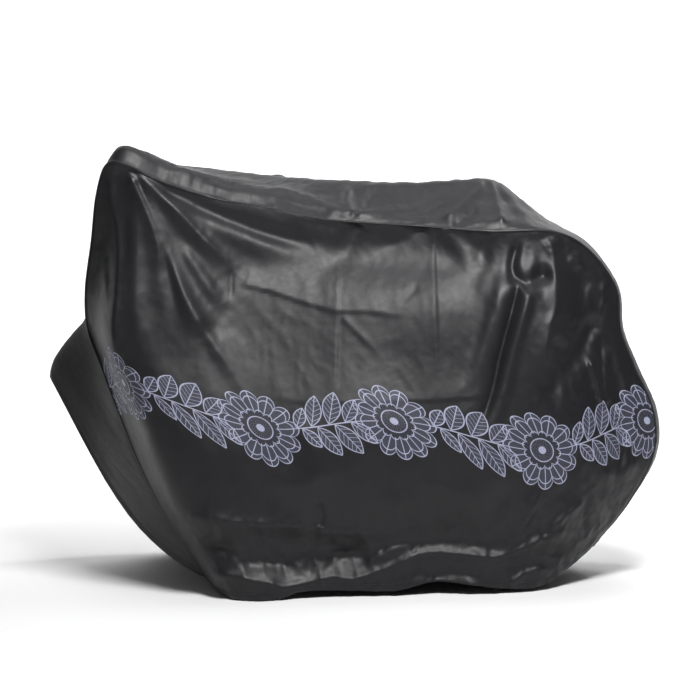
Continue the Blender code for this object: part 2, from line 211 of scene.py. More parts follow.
NEAR_MIDDLE = [
    # Lines left by packing: upright, level and slanting.
    Fold([(-0.026, 0.8), (-0.028, 0.673), (-0.033, 0.449)], (0.0014, 0.0034), 0.003, 0.03, 1.0, (0.3, 0.3),
         Edge.CRISP),
    Fold([(0.2, 0.85), (0.2, 0.64), (0.204, 0.45)], (0.004, 0.002), 0.004, 0.03, 1.0, (0.15, 0.4),
         Edge.CRISP),
    Fold([(-0.277, 0.76), (-0.276, 0.68)], (-0.003, -0.003), 0.006, 0.012, 1.0, (0.3, 0.3), Edge.CRISP),
    Fold([(-0.275, 0.722), (-0.224, 0.713), (-0.17, 0.699), (-0.116, 0.68), (-0.03, 0.657), (0.054, 0.654),
          (0.172, 0.638)], (0.0028, 0.0026), 0.03, 0.004, 1.0, (0.15, 0.3), Edge.CRISP),
    Fold([(-0.021, 0.645), (0.037, 0.587), (0.072, 0.5565)], (0.0028, 0.002), 0.012, 0.006, 1.0, (0.1, 0.4),
         Edge.CRISP),
    Fold([(0.165, 0.722), (0.116, 0.668)], (-0.003, -0.002), 0.01, 0.01, 1.0, (0.3, 0.3)),
    Fold([(0.44, 0.47), (0.2, 0.452), (-0.04, 0.446), (-0.23, 0.462)], (0.002, 0.002), 0.004, 0.03, 1.0,
         (0.3, 0.3), Edge.CRISP),
    # Folds drawn from under the top seam and the V of slack cloth in the middle.
    Fold([(0.02, 0.868), (-0.015, 0.79), (-0.02, 0.73)], (-0.01, -0.004), 0.03, 0.034, 0.7, (0.1, 0.5)),
    Fold([(0.19, 0.862), (0.12, 0.822), (0.04, 0.805)], (-0.007, -0.006), 0.022, 0.026, 0.8, (0.15, 0.4)),
    Fold([(0.205, 0.862), (0.29, 0.77), (0.35, 0.64)], (0.006, 0.008), 0.03, 0.04, 0.5, (0.1, 0.5)),
    Fold([(0.33, 0.846), (0.3, 0.74), (0.26, 0.64)], (-0.006, -0.004), 0.025, 0.03, 0.6, (0.1, 0.5)),
    Fold([(-0.12, 0.42), (-0.08, 0.33), (-0.06, 0.24)], (0.006, 0.008), 0.035, 0.035, 0.8, (0.3, 0.3)),
    Fold([(0.12, 0.4), (0.09, 0.3), (0.1, 0.2)], (-0.008, -0.006), 0.045, 0.035, 0.8, (0.3, 0.3)),
]
NEAR_REAR = [
    # The deep tuck, its two arms, and the corner below the shoulder.
    Fold([(0.404, 0.78), (0.393, 0.708), (0.352, 0.56), (0.328, 0.463), (0.277, 0.333)],
         (-0.03, -0.016), 0.012, 0.016, 1.5, (0.25, 0.3), Edge.CRISP),
    Fold([(0.43, 0.79), (0.415, 0.7), (0.375, 0.56), (0.35, 0.463), (0.305, 0.32)],
         (0.014, 0.012), 0.018, 0.04, 0.9, (0.2, 0.4)),
    Fold([(0.36, 0.76), (0.35, 0.69), (0.31, 0.56), (0.27, 0.44)], (0.012, 0.008), 0.045, 0.02, 0.9),
    Fold([(0.399, 0.822), (0.384, 0.76), (0.392, 0.715)], (-0.01, -0.014), 0.012, 0.014, 0.7, (0.2, 0.2)),
    Fold([(0.48, 0.752), (0.436, 0.73), (0.398, 0.708)], (-0.018, -0.02), 0.016, 0.022, 1.0, (0.3, 0.2)),
    Fold([(0.464, 0.838), (0.48, 0.792), (0.483, 0.729), (0.481, 0.66), (0.466, 0.62), (0.457, 0.56),
          (0.45, 0.47)], (0.012, 0.02), 0.04, 0.03, 0.7, (0.08, 0.3), Edge.CRISP),
    Fold([(0.5, 0.6), (0.478, 0.52), (0.47, 0.42)], (-0.012, -0.01), 0.02, 0.026),
    # Creases round the rear wheel.
    Fold([(0.52, 0.79), (0.54, 0.776), (0.552, 0.756)], (0.008, 0.006), 0.01, 0.016, 1.0, (0.3, 0.3)),
    Fold([(0.56, 0.77), (0.545, 0.7), (0.548, 0.63)], (-0.01, -0.008), 0.022, 0.026, 1.0, (0.3, 0.3)),
    Fold([(0.612, 0.74), (0.61, 0.69), (0.598, 0.62)], (0.008, 0.01), 0.012, 0.01, 1.0, (0.25, 0.25),
         Edge.CRISP),
    Fold([(0.6, 0.65), (0.54, 0.56), (0.48, 0.47)], (-0.02, -0.012), 0.024, 0.03, 0.7, (0.2, 0.3)),
    Fold([(0.56, 0.56), (0.575, 0.52), (0.605, 0.42)], (0.016, 0.02), 0.035, 0.01, 0.8, (0.25, 0.2),
         Edge.CRISP),
    Fold([(0.605, 0.64), (0.603, 0.5), (0.6, 0.36)], (-0.004, -0.012), 0.006, 0.018, 1.0, (0.3, 0.3),
         Edge.CRISP),
    Fold([(0.64, 0.6), (0.66, 0.5), (0.69, 0.4)], (0.008, 0.01), 0.02, 0.014, 1.0, (0.3, 0.3)),
    Fold([(0.655, 0.42), (0.65, 0.32), (0.62, 0.22)], (-0.01, -0.01), 0.016, 0.018),
    Fold([(0.7, 0.3), (0.64, 0.27), (0.56, 0.26)], (0.01, 0.008), 0.022, 0.026, 1.0, (0.25, 0.4)),
]
NEAR_FOOT = [
    # Gathers above the hem, front to rear.
    Fold([(-0.4, 0.2), (-0.322, 0.186), (-0.217, 0.174), (-0.088, 0.165)],
         (0.01, 0.02), 0.03, 0.042, 1.0, (0.25, 0.12), Edge.CRISP),
    Fold([(-0.11, 0.158), (-0.04, 0.152), (0.079, 0.148), (0.15, 0.16)],
         (0.014, 0.01), 0.026, 0.045, 1.0, (0.2, 0.4), Edge.CRISP),
    Fold([(-0.072, 0.225), (-0.066, 0.19), (-0.07, 0.158)], (-0.008, -0.008), 0.01, 0.012, 1.0, (0.3, 0.2)),
    Fold([(-0.34, 0.15), (-0.28, 0.118), (-0.25, 0.09)], (-0.012, -0.01), 0.016, 0.024),
    Fold([(-0.35, 0.052), (-0.268, 0.056), (-0.182, 0.038), (-0.147, 0.03), (-0.1, 0.036), (-0.04, 0.046),
          (0.014, 0.042), (0.11, 0.074), (0.163, 0.093)], (0.012, 0.016), 0.02, 0.018, 1.0, (0.12, 0.25),
         Edge.CRISP),
    Fold([(0.0, 0.052), (0.05, 0.08), (0.103, 0.107), (0.16, 0.118)], (0.006, 0.012), 0.012, 0.018, 1.0,
         (0.25, 0.35), Edge.CRISP),
    Fold([(-0.06, 0.086), (0.0, 0.09), (0.06, 0.07)], (-0.012, -0.01), 0.02, 0.018),
    Fold([(-0.26, 0.088), (-0.18, 0.08), (-0.1, 0.076)], (-0.01, -0.01), 0.02, 0.016),
    Fold([(0.09, 0.066), (0.168, 0.096), (0.26, 0.094), (0.35, 0.088), (0.445, 0.121), (0.503, 0.139),
          (0.545, 0.118)], (0.016, 0.018), 0.022, 0.024, 1.0, (0.12, 0.15), Edge.CRISP),
    Fold([(0.345, 0.08), (0.385, 0.13), (0.425, 0.2), (0.452, 0.268)], (0.01, 0.014), 0.03, 0.016, 1.0,
         (0.25, 0.3), Edge.CRISP),
    Fold([(0.3, 0.15), (0.34, 0.21), (0.37, 0.28)], (-0.01, -0.006), 0.024, 0.024, 1.0, (0.3, 0.4)),
    Fold([(0.46, 0.14), (0.52, 0.19), (0.565, 0.215)], (0.012, 0.014), 0.018, 0.014, 1.0, (0.2, 0.3),
         Edge.CRISP),
    Fold([(0.56, 0.225), (0.552, 0.18), (0.556, 0.13)], (-0.008, -0.012), 0.01, 0.014, 1.0, (0.2, 0.3)),
    Fold([(0.36, 0.016), (0.4, 0.04), (0.44, 0.052), (0.48, 0.046)], (0.008, 0.01), 0.012, 0.014, 1.0,
         (0.2, 0.3), Edge.CRISP),
    Fold([(0.18, 0.034), (0.24, 0.05), (0.32, 0.04)], (-0.01, -0.008), 0.016, 0.014),
    Fold([(-0.2, 0.3), (-0.12, 0.26), (-0.02, 0.262)], (0.006, 0.006), 0.03, 0.034, 1.0, (0.35, 0.4)),
    Fold([(0.16, 0.29), (0.24, 0.24), (0.31, 0.236)], (0.008, 0.006), 0.03, 0.03, 1.0, (0.35, 0.4)),
]
NEAR_FOLDS = [*NEAR_CORNER, *NEAR_FAN, *NEAR_MIDDLE, *NEAR_REAR, *NEAR_FOOT]

FAR_SWELLS = [
    Swell(x=0.1, z=0.38, half_length=0.5, half_height=0.28, out=0.06),
    Swell(x=0.15, z=0.8, half_length=0.34, half_height=0.06, out=-0.02),
    Swell(x=0.08, z=0.11, half_length=0.5, half_height=0.07, out=-0.022),
]
FAR_FOLDS = [
    Fold([(-0.19, 0.965), (-0.245, 0.69), (-0.33, 0.35)], (0.012, 0.026), 0.055, 0.045, 0.3, (0.08, 0.4),
         Edge.CRISP),
    Fold([(-0.215, 0.955), (-0.37, 0.73), (-0.5, 0.48)], (0.01, 0.02), 0.04, 0.045, 0.3, (0.08, 0.4)),
    Fold([(-0.15, 0.955), (-0.05, 0.74), (0.08, 0.52)], (0.012, 0.02), 0.05, 0.06, 0.3, (0.08, 0.5),
         Edge.CRISP),
    Fold([(-0.12, 0.945), (0.04, 0.85), (0.21, 0.8)], (0.008, 0.012), 0.03, 0.04, 0.4, (0.1, 0.5)),
    Fold([(-0.17, 0.95), (-0.15, 0.76), (-0.12, 0.56)], (-0.006, -0.012), 0.03, 0.03, 0.4, (0.1, 0.5)),
    Fold([(0.35, 0.85), (0.31, 0.6), (0.26, 0.35)], (0.01, 0.022), 0.045, 0.055, 0.4, (0.1, 0.5)),
    Fold([(0.46, 0.83), (0.47, 0.62), (0.45, 0.4)], (0.01, 0.024), 0.04, 0.04, 0.6, (0.1, 0.5),
         Edge.CRISP),
    Fold([(0.6, 0.64), (0.56, 0.52), (0.5, 0.43)], (-0.014, -0.01), 0.03, 0.03),
    Fold([(0.18, 0.84), (0.185, 0.64), (0.18, 0.43)], (0.003, 0.003), 0.004, 0.03, 1.0, (0.2, 0.3),
         Edge.CRISP),
    Fold([(-0.28, 0.64), (0.0, 0.636), (0.38, 0.644)], (0.003, 0.003), 0.004, 0.03, 1.0, (0.2, 0.3),
         Edge.CRISP),
    Fold([(-0.3, 0.15), (-0.08, 0.12), (0.15, 0.12)], (0.018, 0.014), 0.035, 0.045, 1.0, (0.2, 0.3),
         Edge.CRISP),
    Fold([(0.18, 0.09), (0.34, 0.085), (0.5, 0.13)], (0.018, 0.016), 0.03, 0.04, 1.0, (0.2, 0.3),
         Edge.CRISP),
    Fold([(-0.4, 0.08), (-0.26, 0.05), (-0.08, 0.052)], (0.012, 0.012), 0.02, 0.02, 1.0, (0.2, 0.3)),
    Fold([(0.56, 0.26), (0.48, 0.3), (0.4, 0.38)], (0.012, 0.01), 0.03, 0.03, 1.0, (0.2, 0.4)),
]
# Creases of the gusset's near half along the top, seen from the side in X and Z.
GUSSET_FOLDS = [
    Fold([(0.005, 0.878), (-0.06, 0.904), (-0.13, 0.93), (-0.25, 0.964)], (0.008, 0.004), 0.01, 0.016, 1.2,
         (0.1, 0.4), Edge.CRISP),
    Fold([(0.005, 0.878), (0.06, 0.89), (0.13, 0.9), (0.225, 0.914)], (0.008, 0.006), 0.016, 0.01, 0.8,
         (0.1, 0.3), Edge.CRISP),
    Fold([(0.005, 0.88), (-0.01, 0.92), (-0.004, 0.965)], (0.007, 0.005), 0.012, 0.014, 1.0, (0.1, 0.3)),
    Fold([(-0.04, 0.885), (-0.12, 0.902), (-0.21, 0.926)], (-0.006, -0.004), 0.008, 0.01, 1.0, (0.2, 0.4)),
    Fold([(0.04, 0.885), (0.05, 0.93), (0.09, 0.965)], (-0.005, -0.005), 0.014, 0.016, 1.0, (0.2, 0.3)),
    Fold([(0.345, 0.972), (0.352, 0.92), (0.362, 0.85)], (0.008, 0.01), 0.014, 0.014, 0.7, (0.08, 0.2),
         Edge.CRISP),
    Fold([(0.33, 0.972), (0.28, 0.92), (0.22, 0.866)], (0.006, 0.01), 0.016, 0.02, 0.6, (0.08, 0.2),
         Edge.CRISP),
    Fold([(0.36, 0.97), (0.4, 0.915), (0.445, 0.852)], (0.005, 0.006), 0.014, 0.018, 0.6, (0.1, 0.3)),
    Fold([(0.26, 0.94), (0.19, 0.905), (0.1, 0.886)], (-0.007, -0.006), 0.012, 0.014, 1.0, (0.2, 0.4)),
    Fold([(0.31, 0.9), (0.27, 0.87), (0.24, 0.855)], (-0.006, -0.006), 0.01, 0.01, 1.0, (0.2, 0.2)),
    Fold([(-0.3, 0.955), (-0.18, 0.94), (-0.08, 0.94)], (0.005, 0.004), 0.01, 0.014, 1.0, (0.3, 0.4)),
    Fold([(-0.44, 0.99), (-0.3, 0.968), (-0.16, 0.962)], (0.006, 0.004), 0.008, 0.01, 1.0, (0.2, 0.4)),
]


class Peak(NamedTuple):
    """A point over which the gusset is drawn up, such as a grip: place, reach and rise."""

    x: float
    y: float
    reach: float
    rise: float


PEAKS = [
    Peak(x=-0.528, y=-0.232, reach=0.034, rise=0.012),
    Peak(x=-0.185, y=0.228, reach=0.05, rise=0.034),
    Peak(x=0.36, y=0.0, reach=0.045, rise=0.008),
]

# Where the middle of the printed band runs on the near side panel: x and z.
PRINT_LINE: list[Spot] = [
    (-0.66, 0.48), (-0.5, 0.462), (-0.27, 0.426), (0.09, 0.378), (0.4, 0.364), (0.8, 0.36)
]


# ---------------------------------------------------------------------------- shape maths


def through(rows: Sequence[Sequence[float]] | Array, at: Array) -> Array:
    """The Catmull-Rom curve through rows of numbers.

    Between two rows it is the cubic that meets both, and whose slope at each is half the
    step from the row before to the row after.

    Args:
        rows: The rows, evenly numbered from 0.
        at: Fractional row numbers.

    Returns:
        One row of numbers for each entry of at.
    """
    rows = np.asarray(rows, float)
    at = np.asarray(at, float)
    padded = np.concatenate([2 * rows[:1] - rows[1:2], rows, 2 * rows[-1:] - rows[-2:-1]])
    low = np.clip(np.floor(at).astype(int), 0, len(rows) - 2)
    t = (at - low)[..., None]
    a, b, c, d = (padded[low + step] for step in range(4))
    cubic = (2 * a - 5 * b + 4 * c - d) * t**2 + (3 * b - a - 3 * c + d) * t**3
    return 0.5 * (2 * b + (c - a) * t + cubic)


def run_length(points: Array, axis: int = 0) -> Array:
    """The length run so far at each point along an axis of a grid, starting at 0.

    Args:
        points: The grid of points.
        axis: The axis to run along.

    Returns:
        The lengths.
    """
    steps = np.linalg.norm(np.diff(points, axis=axis), axis=-1)
    start = np.zeros_like(np.take(steps, [0], axis=axis))
    return np.concatenate([start, np.cumsum(steps, axis=axis)], axis=axis)


def evenly(rows: Sequence[Point], start: float, stop: float, cells: int) -> Array:
    """Row numbers that cut the curve through the rows into equal lengths.

    Args:
        rows: The curve's rows.
        start: The first row number.
        stop: The last one.
        cells: How many lengths.

    Returns:
        cells + 1 row numbers.
    """
    fine = np.linspace(start, stop, 1600)
    run = run_length(through(rows, fine))
    return np.interp(np.linspace(0, run[-1], cells + 1), run, fine)


def eased(value: Array) -> Array:
    """0 below 0, 1 above 1, and the smooth cubic 3 v^2 - 2 v^3 between."""
    value = np.clip(value, 0, 1)
    return value * value * (3 - 2 * value)


def swell_height(swell: Swell, x: Array, z: Array) -> Array:
    """A bell: out times e to minus the squared distance from its middle, in half sizes."""
    reach = ((x - swell.x) / swell.half_length) ** 2 + ((z - swell.z) / swell.half_height) ** 2
    return swell.out * np.exp(-reach)


def fold_height(fold: Fold, x: Array, z: Array) -> Array:
    """How far out a fold moves each point.

    The nearest point of the fold's line gives each point its place s along the line and its
    distance aside. The height is the line's height at s, faded at both ends, times
    e to minus (sqrt(q^2 + r^2) - r) / (1 or r), where q is the distance aside in widths and
    r is the edge's roundness: a wave for a soft edge and a tent for a crisp one.

    Args:
        fold: The fold.
        x: The points' X.
        z: The points' Z.

    Returns:
        The heights, in the shape of x.
    """
    last = len(fold.line) - 1
    line = through(fold.line, np.linspace(0, last, 7 * last + 1))
    steps = np.diff(line, axis=0)
    lengths = np.linalg.norm(steps, axis=1)
    before = np.concatenate([[0.0], np.cumsum(lengths)])
    widest = 3.2 * max(fold.left, fold.right) * max(1.0, fold.spread)
    near = (x > line[:, 0].min() - widest) & (x < line[:, 0].max() + widest)
    near &= (z > line[:, 1].min() - widest) & (z < line[:, 1].max() + widest)
    height = np.zeros_like(x)
    if not near.any():
        return height
    spots = np.stack([x[near], z[near]], axis=-1)[:, None]
    offset = spots - line[None, :-1]
    t = np.clip((offset * steps).sum(-1) / lengths**2, 0, 1)
    gap = np.linalg.norm(offset - t[..., None] * steps, axis=-1)
    nearest = gap.argmin(axis=1)
    pick = (np.arange(len(nearest)), nearest)
    s = (before[nearest] + t[pick] * lengths[nearest]) / before[-1]
    side = offset[..., 0][pick] * steps[nearest, 1] - offset[..., 1][pick] * steps[nearest, 0]
    width = np.where(side < 0, fold.left, fold.right) * (fold.spread + (1 - fold.spread) * s)
    out = fold.out[0] + (fold.out[1] - fold.out[0]) * s
    out = out * eased(s / fold.fade[0]) * eased((1 - s) / fold.fade[1])
    q = gap[pick] / width
    r = fold.edge.value
    fall = q**2 if fold.edge is Edge.SOFT else 1.5 * (np.sqrt(q**2 + r**2) - r)
    height[near] = out * np.exp(-fall)
    return height


def folded(folds: Sequence[Fold], x: Array, z: Array) -> Array:
    """The sum of the folds' heights at each point."""
    return sum((fold_height(fold, x, z) for fold in folds), np.zeros_like(x))


class Crease(NamedTuple):
    """A layer of small creases: its facets' size, their height, their stretch, and its shift."""

    size: float
    height: float
    stretch: float = 1.0
    shift: float = 0.0


class Ramp(NamedTuple):
    """An amount that eases in along an axis, from a start and over a reach of either sign."""

    axis: int
    start: float
    reach: float
    amount: float


SIDE_CREASES = [Crease(0.055, 0.0042, 1.5), Crease(0.024, 0.0013, shift=5)]
STRIP_CREASES = [Crease(0.055, 0.0026, 1.2), Crease(0.024, 0.0009, shift=3)]
# A side panel's creases are stronger round the rear wheel, above the hem, and at the front.
SIDE_ROUGHER = [Ramp(0, 0.36, 0.2, 0.9), Ramp(2, 0.26, -0.12, 1.0), Ramp(0, -0.48, -0.08, 0.5)]


@dataclass(frozen=True)
class Crumple:
    """Seeded gradient noise that gives thin cloth its small dents and creases."""

    seed: int
    grid: int = 64

    def wave(self, x: Array, y: Array) -> Array:
        """Gradient noise: corner slopes, dotted with the offsets and blended by quintics.

        Args:
            x: First coordinate, in cells.
            y: Second coordinate, in cells.

        Returns:
            Noise between about -0.7 and 0.7.
        """
        angles = np.random.default_rng(self.seed).uniform(0, 2 * np.pi, (self.grid, self.grid))
        x0, y0 = np.floor(x).astype(int), np.floor(y).astype(int)
        fx, fy = x - x0, y - y0
        ux, uy = (f**3 * (f * (f * 6 - 15) + 10) for f in (fx, fy))
        corners = []
        for dy in (0, 1):
            for dx in (0, 1):
                angle = angles[(y0 + dy) % self.grid, (x0 + dx) % self.grid]
                corners.append(np.cos(angle) * (fx - dx) + np.sin(angle) * (fy - dy))
        low = corners[0] + ux * (corners[1] - corners[0])
        high = corners[2] + ux * (corners[3] - corners[2])
        return low + uy * (high - low)

    def creases(self, x: Array, y: Array, size: float, stretch: float = 1.0) -> Array:
        """Facets between crisp creases: the sum of two octaves of 0.35 minus |noise|.

        Args:
            x: First coordinate, in metres.
            y: Second coordinate, in metres.
            size: The facets' size, in metres.
            stretch: How much longer they are along y.

        Returns:
            Heights between about -1 and 1.
        """
        u, v = x / size, y / (size * stretch)
        warp = 0.6 * self.wave(u * 0.5 + 9.3, v * 0.5 + 4.1)
        first = 0.35 - np.abs(self.wave(u + warp, v + 17.7 - warp))
        second = 0.35 - np.abs(self.wave(u * 1.9 - warp + 31.0, v * 1.9 + warp))
        return 1.6 * first + 0.8 * second

    def layers(self, x: Array, y: Array, rows: Sequence[Crease]) -> Array:
        """The sum of the layers' creases, each shifted along x and times its height."""
        return sum(self.creases(x + row.shift, y, row.size, row.stretch) * row.height for row in rows)


def ramped(ramps: Sequence[Ramp], grid: Array, start: float) -> Array:
    """The start, and the ramps' amounts at each point of a grid."""
    amounts = (ramp.amount * eased((grid[..., ramp.axis] - ramp.start) / ramp.reach) for ramp in ramps)
    return sum(amounts, start)


def normals_of(grid: Array) -> Array:
    """Unit normals of a grid: the cross product of its steps across and up."""
    across = np.gradient(grid, axis=1)
    up = np.gradient(grid, axis=0)
    normal = np.cross(across, up)
    return normal / np.maximum(np.linalg.norm(normal, axis=-1, keepdims=True), 1e-12)


# ---------------------------------------------------------------------------- mesh making


def put_mesh(name: str, points: Array, faces: Array, smooth: bool = True) -> bpy.types.Object:
    """A new mesh object at the origin.

    Args:
        name: The object's name.
        points: The vertices, n by 3.
        faces: The faces, all with the same number of corners.
        smooth: Whether it is shaded smooth.

    Returns:
        The object, linked to the scene.
    """
    corners = faces.shape[1]
    mesh = bpy.data.meshes.new(name)
    mesh.vertices.add(len(points))
    mesh.vertices.foreach_set("co", points.astype(np.float32).ravel())
    mesh.loops.add(faces.size)
    mesh.loops.foreach_set("vertex_index", faces.astype(np.int32).ravel())
    mesh.polygons.add(len(faces))
    mesh.polygons.foreach_set("loop_start", np.arange(0, faces.size, corners, dtype=np.int32))
    mesh.update(calc_edges=True)
    mesh.validate()
    if smooth:
        mesh.shade_smooth()
    piece = bpy.data.objects.new(name, mesh)
    bpy.context.scene.collection.objects.link(piece)
    return piece


def grid_faces(rows: int, columns: int, turned: bool = False) -> Array:
    """The quads of a grid of points, which face across times up.

    Args:
        rows: How many rows of points.
        columns: How many points in a row.
        turned: Whether they face the other way.

    Returns:
        Four point numbers for each quad.
    """
    index = np.arange(rows * columns).reshape(rows, columns)
    loops = [index[:-1, :-1], index[:-1, 1:], index[1:, 1:], index[1:, :-1]]
    return np.stack(loops[::-1] if turned else loops, axis=-1).reshape(-1, 4)


def put_uv(piece: bpy.types.Object, uv: Array) -> None:
    """Gives the piece's mesh a UV map in metres.

    Args:
        piece: The piece.
        uv: A pair for each vertex.
    """
    layer = piece.data.uv_layers.new(name="cloth")
    corners = np.empty(len(piece.data.loops), np.int32)
    piece.data.loops.foreach_get("vertex_index", corners)
    layer.uv.foreach_set("vector", uv[corners].astype(np.float32).ravel())


def thicken(piece: bpy.types.Object, thickness: float) -> None:
    """A Solidify modifier, half the cloth's thickness to each side.

    Args:
        piece: The sheet.
        thickness: In metres.
    """
    solid = piece.modifiers.new("cloth thickness", "SOLIDIFY")
    solid.thickness = thickness
    solid.offset = 0


def grid_area(grid: Array) -> float:
    """The area of a grid's surface, from the cross products of its cells' sides."""
    across = np.diff(grid, axis=1)[:-1]
    up = np.diff(grid, axis=0)[:, :-1]
    return float(np.linalg.norm(np.cross(across, up), axis=-1).sum())


# ------------------------------------------------------------------------- shader writing


class Signal:
    """A shader value that takes part in plain arithmetic, each step a Math node."""

    def __init__(self, graph: "Graph", socket: bpy.types.NodeSocket) -> None:
        """Keeps what the value is made of.

        Args:
            graph: The graph that it belongs to.
            socket: The output that carries it.
        """
        self.graph = graph
        self.socket = socket

    def __add__(self, other: "Signal | float") -> "Signal":
        """Their sum."""
        return self.graph.math("ADD", self, other)

    def __sub__(self, other: "Signal | float") -> "Signal":
        """Their difference."""
        return self.graph.math("SUBTRACT", self, other)

    def __rsub__(self, other: float) -> "Signal":
        """A number less this."""
        return self.graph.math("SUBTRACT", other, self)

    def __mul__(self, other: "Signal | float") -> "Signal":
        """Their product."""
        return self.graph.math("MULTIPLY", self, other)

    def __truediv__(self, other: "Signal | float") -> "Signal":
        """Their ratio."""
        return self.graph.math("DIVIDE", self, other)

    __radd__ = __add__
    __rmul__ = __mul__


class Graph:
    """A material's node tree, with short ways to write its maths."""

    def __init__(self, name: str) -> None:
        """Starts a material with one Principled shader.

        Args:
            name: The material's name.
        """
        self.material = bpy.data.materials.new(name)
        self.material.use_nodes = True
        self.tree = self.material.node_tree
        self.shader = self.tree.nodes["Principled BSDF"]

    def node(self, kind: str, **settings: object) -> bpy.types.Node:
        """A new node.

        Args:
            kind: Its type.
            **settings: Its settings.

        Returns:
            The node.
        """
        made = self.tree.nodes.new(kind)
        for key, value in settings.items():
            setattr(made, key, value)
        return made

    def feed(self, socket: bpy.types.NodeSocket, value: "Signal | float") -> None:
        """Links a signal to a socket, or sets a number on it."""
        if isinstance(value, Signal):
            self.tree.links.new(value.socket, socket)
        else:
            socket.default_value = value

    def math(self, operation: str, *values: "Signal | float", clamp: bool = False) -> Signal:
        """A Math node's result.

        Args:
            operation: The node's operation.
            *values: Its inputs.
            clamp: Whether the result stays between 0 and 1.

        Returns:
            The result.
        """
        made = self.node("ShaderNodeMath", operation=operation, use_clamp=clamp)
        for socket, value in zip(made.inputs, values):
            self.feed(socket, value)
        return Signal(self, made.outputs[0])

    def coordinates(self, source: str) -> tuple[Signal, Signal, Signal]:
        """The three parts of a Texture Coordinate output.

        Args:
            source: The output, such as Object or UV.

        Returns:
            The parts.
        """
        place = self.node("ShaderNodeTexCoord")
        parts = self.node("ShaderNodeSeparateXYZ")
        self.tree.links.new(place.outputs[source], parts.inputs[0])
        x, y, z = (Signal(self, part) for part in parts.outputs)
        return x, y, z

    def noise(self, source: str, scale: float, detail: float = 3.0, stretch: Point = (1, 1, 1)) -> Signal:
        """Noise over a coordinate output.

        Args:
            source: The Texture Coordinate output.
            scale: How many features a metre.
            detail: How many octaves.
            stretch: Scale of each axis.

        Returns:
            The noise, from 0 to 1.
        """
        place = self.node("ShaderNodeTexCoord")
        mapping = self.node("ShaderNodeMapping")
        mapping.inputs["Scale"].default_value = stretch
        texture = self.node("ShaderNodeTexNoise")
        texture.inputs["Scale"].default_value = scale
        texture.inputs["Detail"].default_value = detail
        self.tree.links.new(place.outputs[source], mapping.inputs["Vector"])
        self.tree.links.new(mapping.outputs["Vector"], texture.inputs["Vector"])
        return Signal(self, texture.outputs["Fac"])

    def mixed(
        self, factor: Signal, low: Sequence[float] | Signal, high: Sequence[float] | Signal
    ) -> Signal:
        """A colour between two others.

        Args:
            factor: From 0 to 1.
            low: The colour at 0.
            high: The colour at 1.

        Returns:
            The colour.
        """
        mix = self.node("ShaderNodeMix", data_type="RGBA")
        self.feed(mix.inputs["Factor"], factor)
        for socket, value in ((mix.inputs[6], low), (mix.inputs[7], high)):
            self.feed(socket, value if isinstance(value, Signal) else (*value, 1))
        return Signal(self, mix.outputs[2])

    def between(self, value: Signal, low: float, high: float, out_low: float, out_high: float) -> Signal:
        """The value carried from one span to another, and held at the ends.

        Args:
            value: The value.
            low: Where the first span starts.
            high: Where it ends.
            out_low: Where the second span starts.
            out_high: Where it ends.

        Returns:
            The value carried over.
        """
        span = self.node("ShaderNodeMapRange", interpolation_type="SMOOTHSTEP")
        for socket, number in zip(span.inputs, (value, low, high, out_low, out_high)):
            self.feed(socket, number)
        return Signal(self, span.outputs[0])

    def line(self, distance: Signal, half_width: float, soft: float = 0.0006) -> Signal:
        """1 where a distance is within the half width of a drawn line, with a soft edge."""
        away = self.math("ABSOLUTE", distance)
        return self.math("MULTIPLY_ADD", away, -1 / soft, half_width / soft + 0.5, clamp=True)

    def inside(self, distance: Signal, soft: float = 0.0006) -> Signal:
        """1 where a signed distance is below 0, with a soft edge."""
        return self.math("MULTIPLY_ADD", distance, -1 / soft, 0.5, clamp=True)

    def bump(self, layers: Sequence[tuple[Signal, float, float]]) -> None:
        """Bumps the shader's normal, one layer on another.

        Args:
            layers: For each layer its height from 0 to 1, its depth in metres and strength.
        """
        below = None
        for height, depth, strength in layers:
            made = self.node("ShaderNodeBump")
            made.inputs["Strength"].default_value = strength
            made.inputs["Distance"].default_value = depth
            self.feed(made.inputs["Height"], height)
            if below is not None:
                self.tree.links.new(below, made.inputs["Normal"])
            below = made.outputs[0]
        self.tree.links.new(below, self.shader.inputs["Normal"])


# -------------------------------------------------------------------------------- finishes


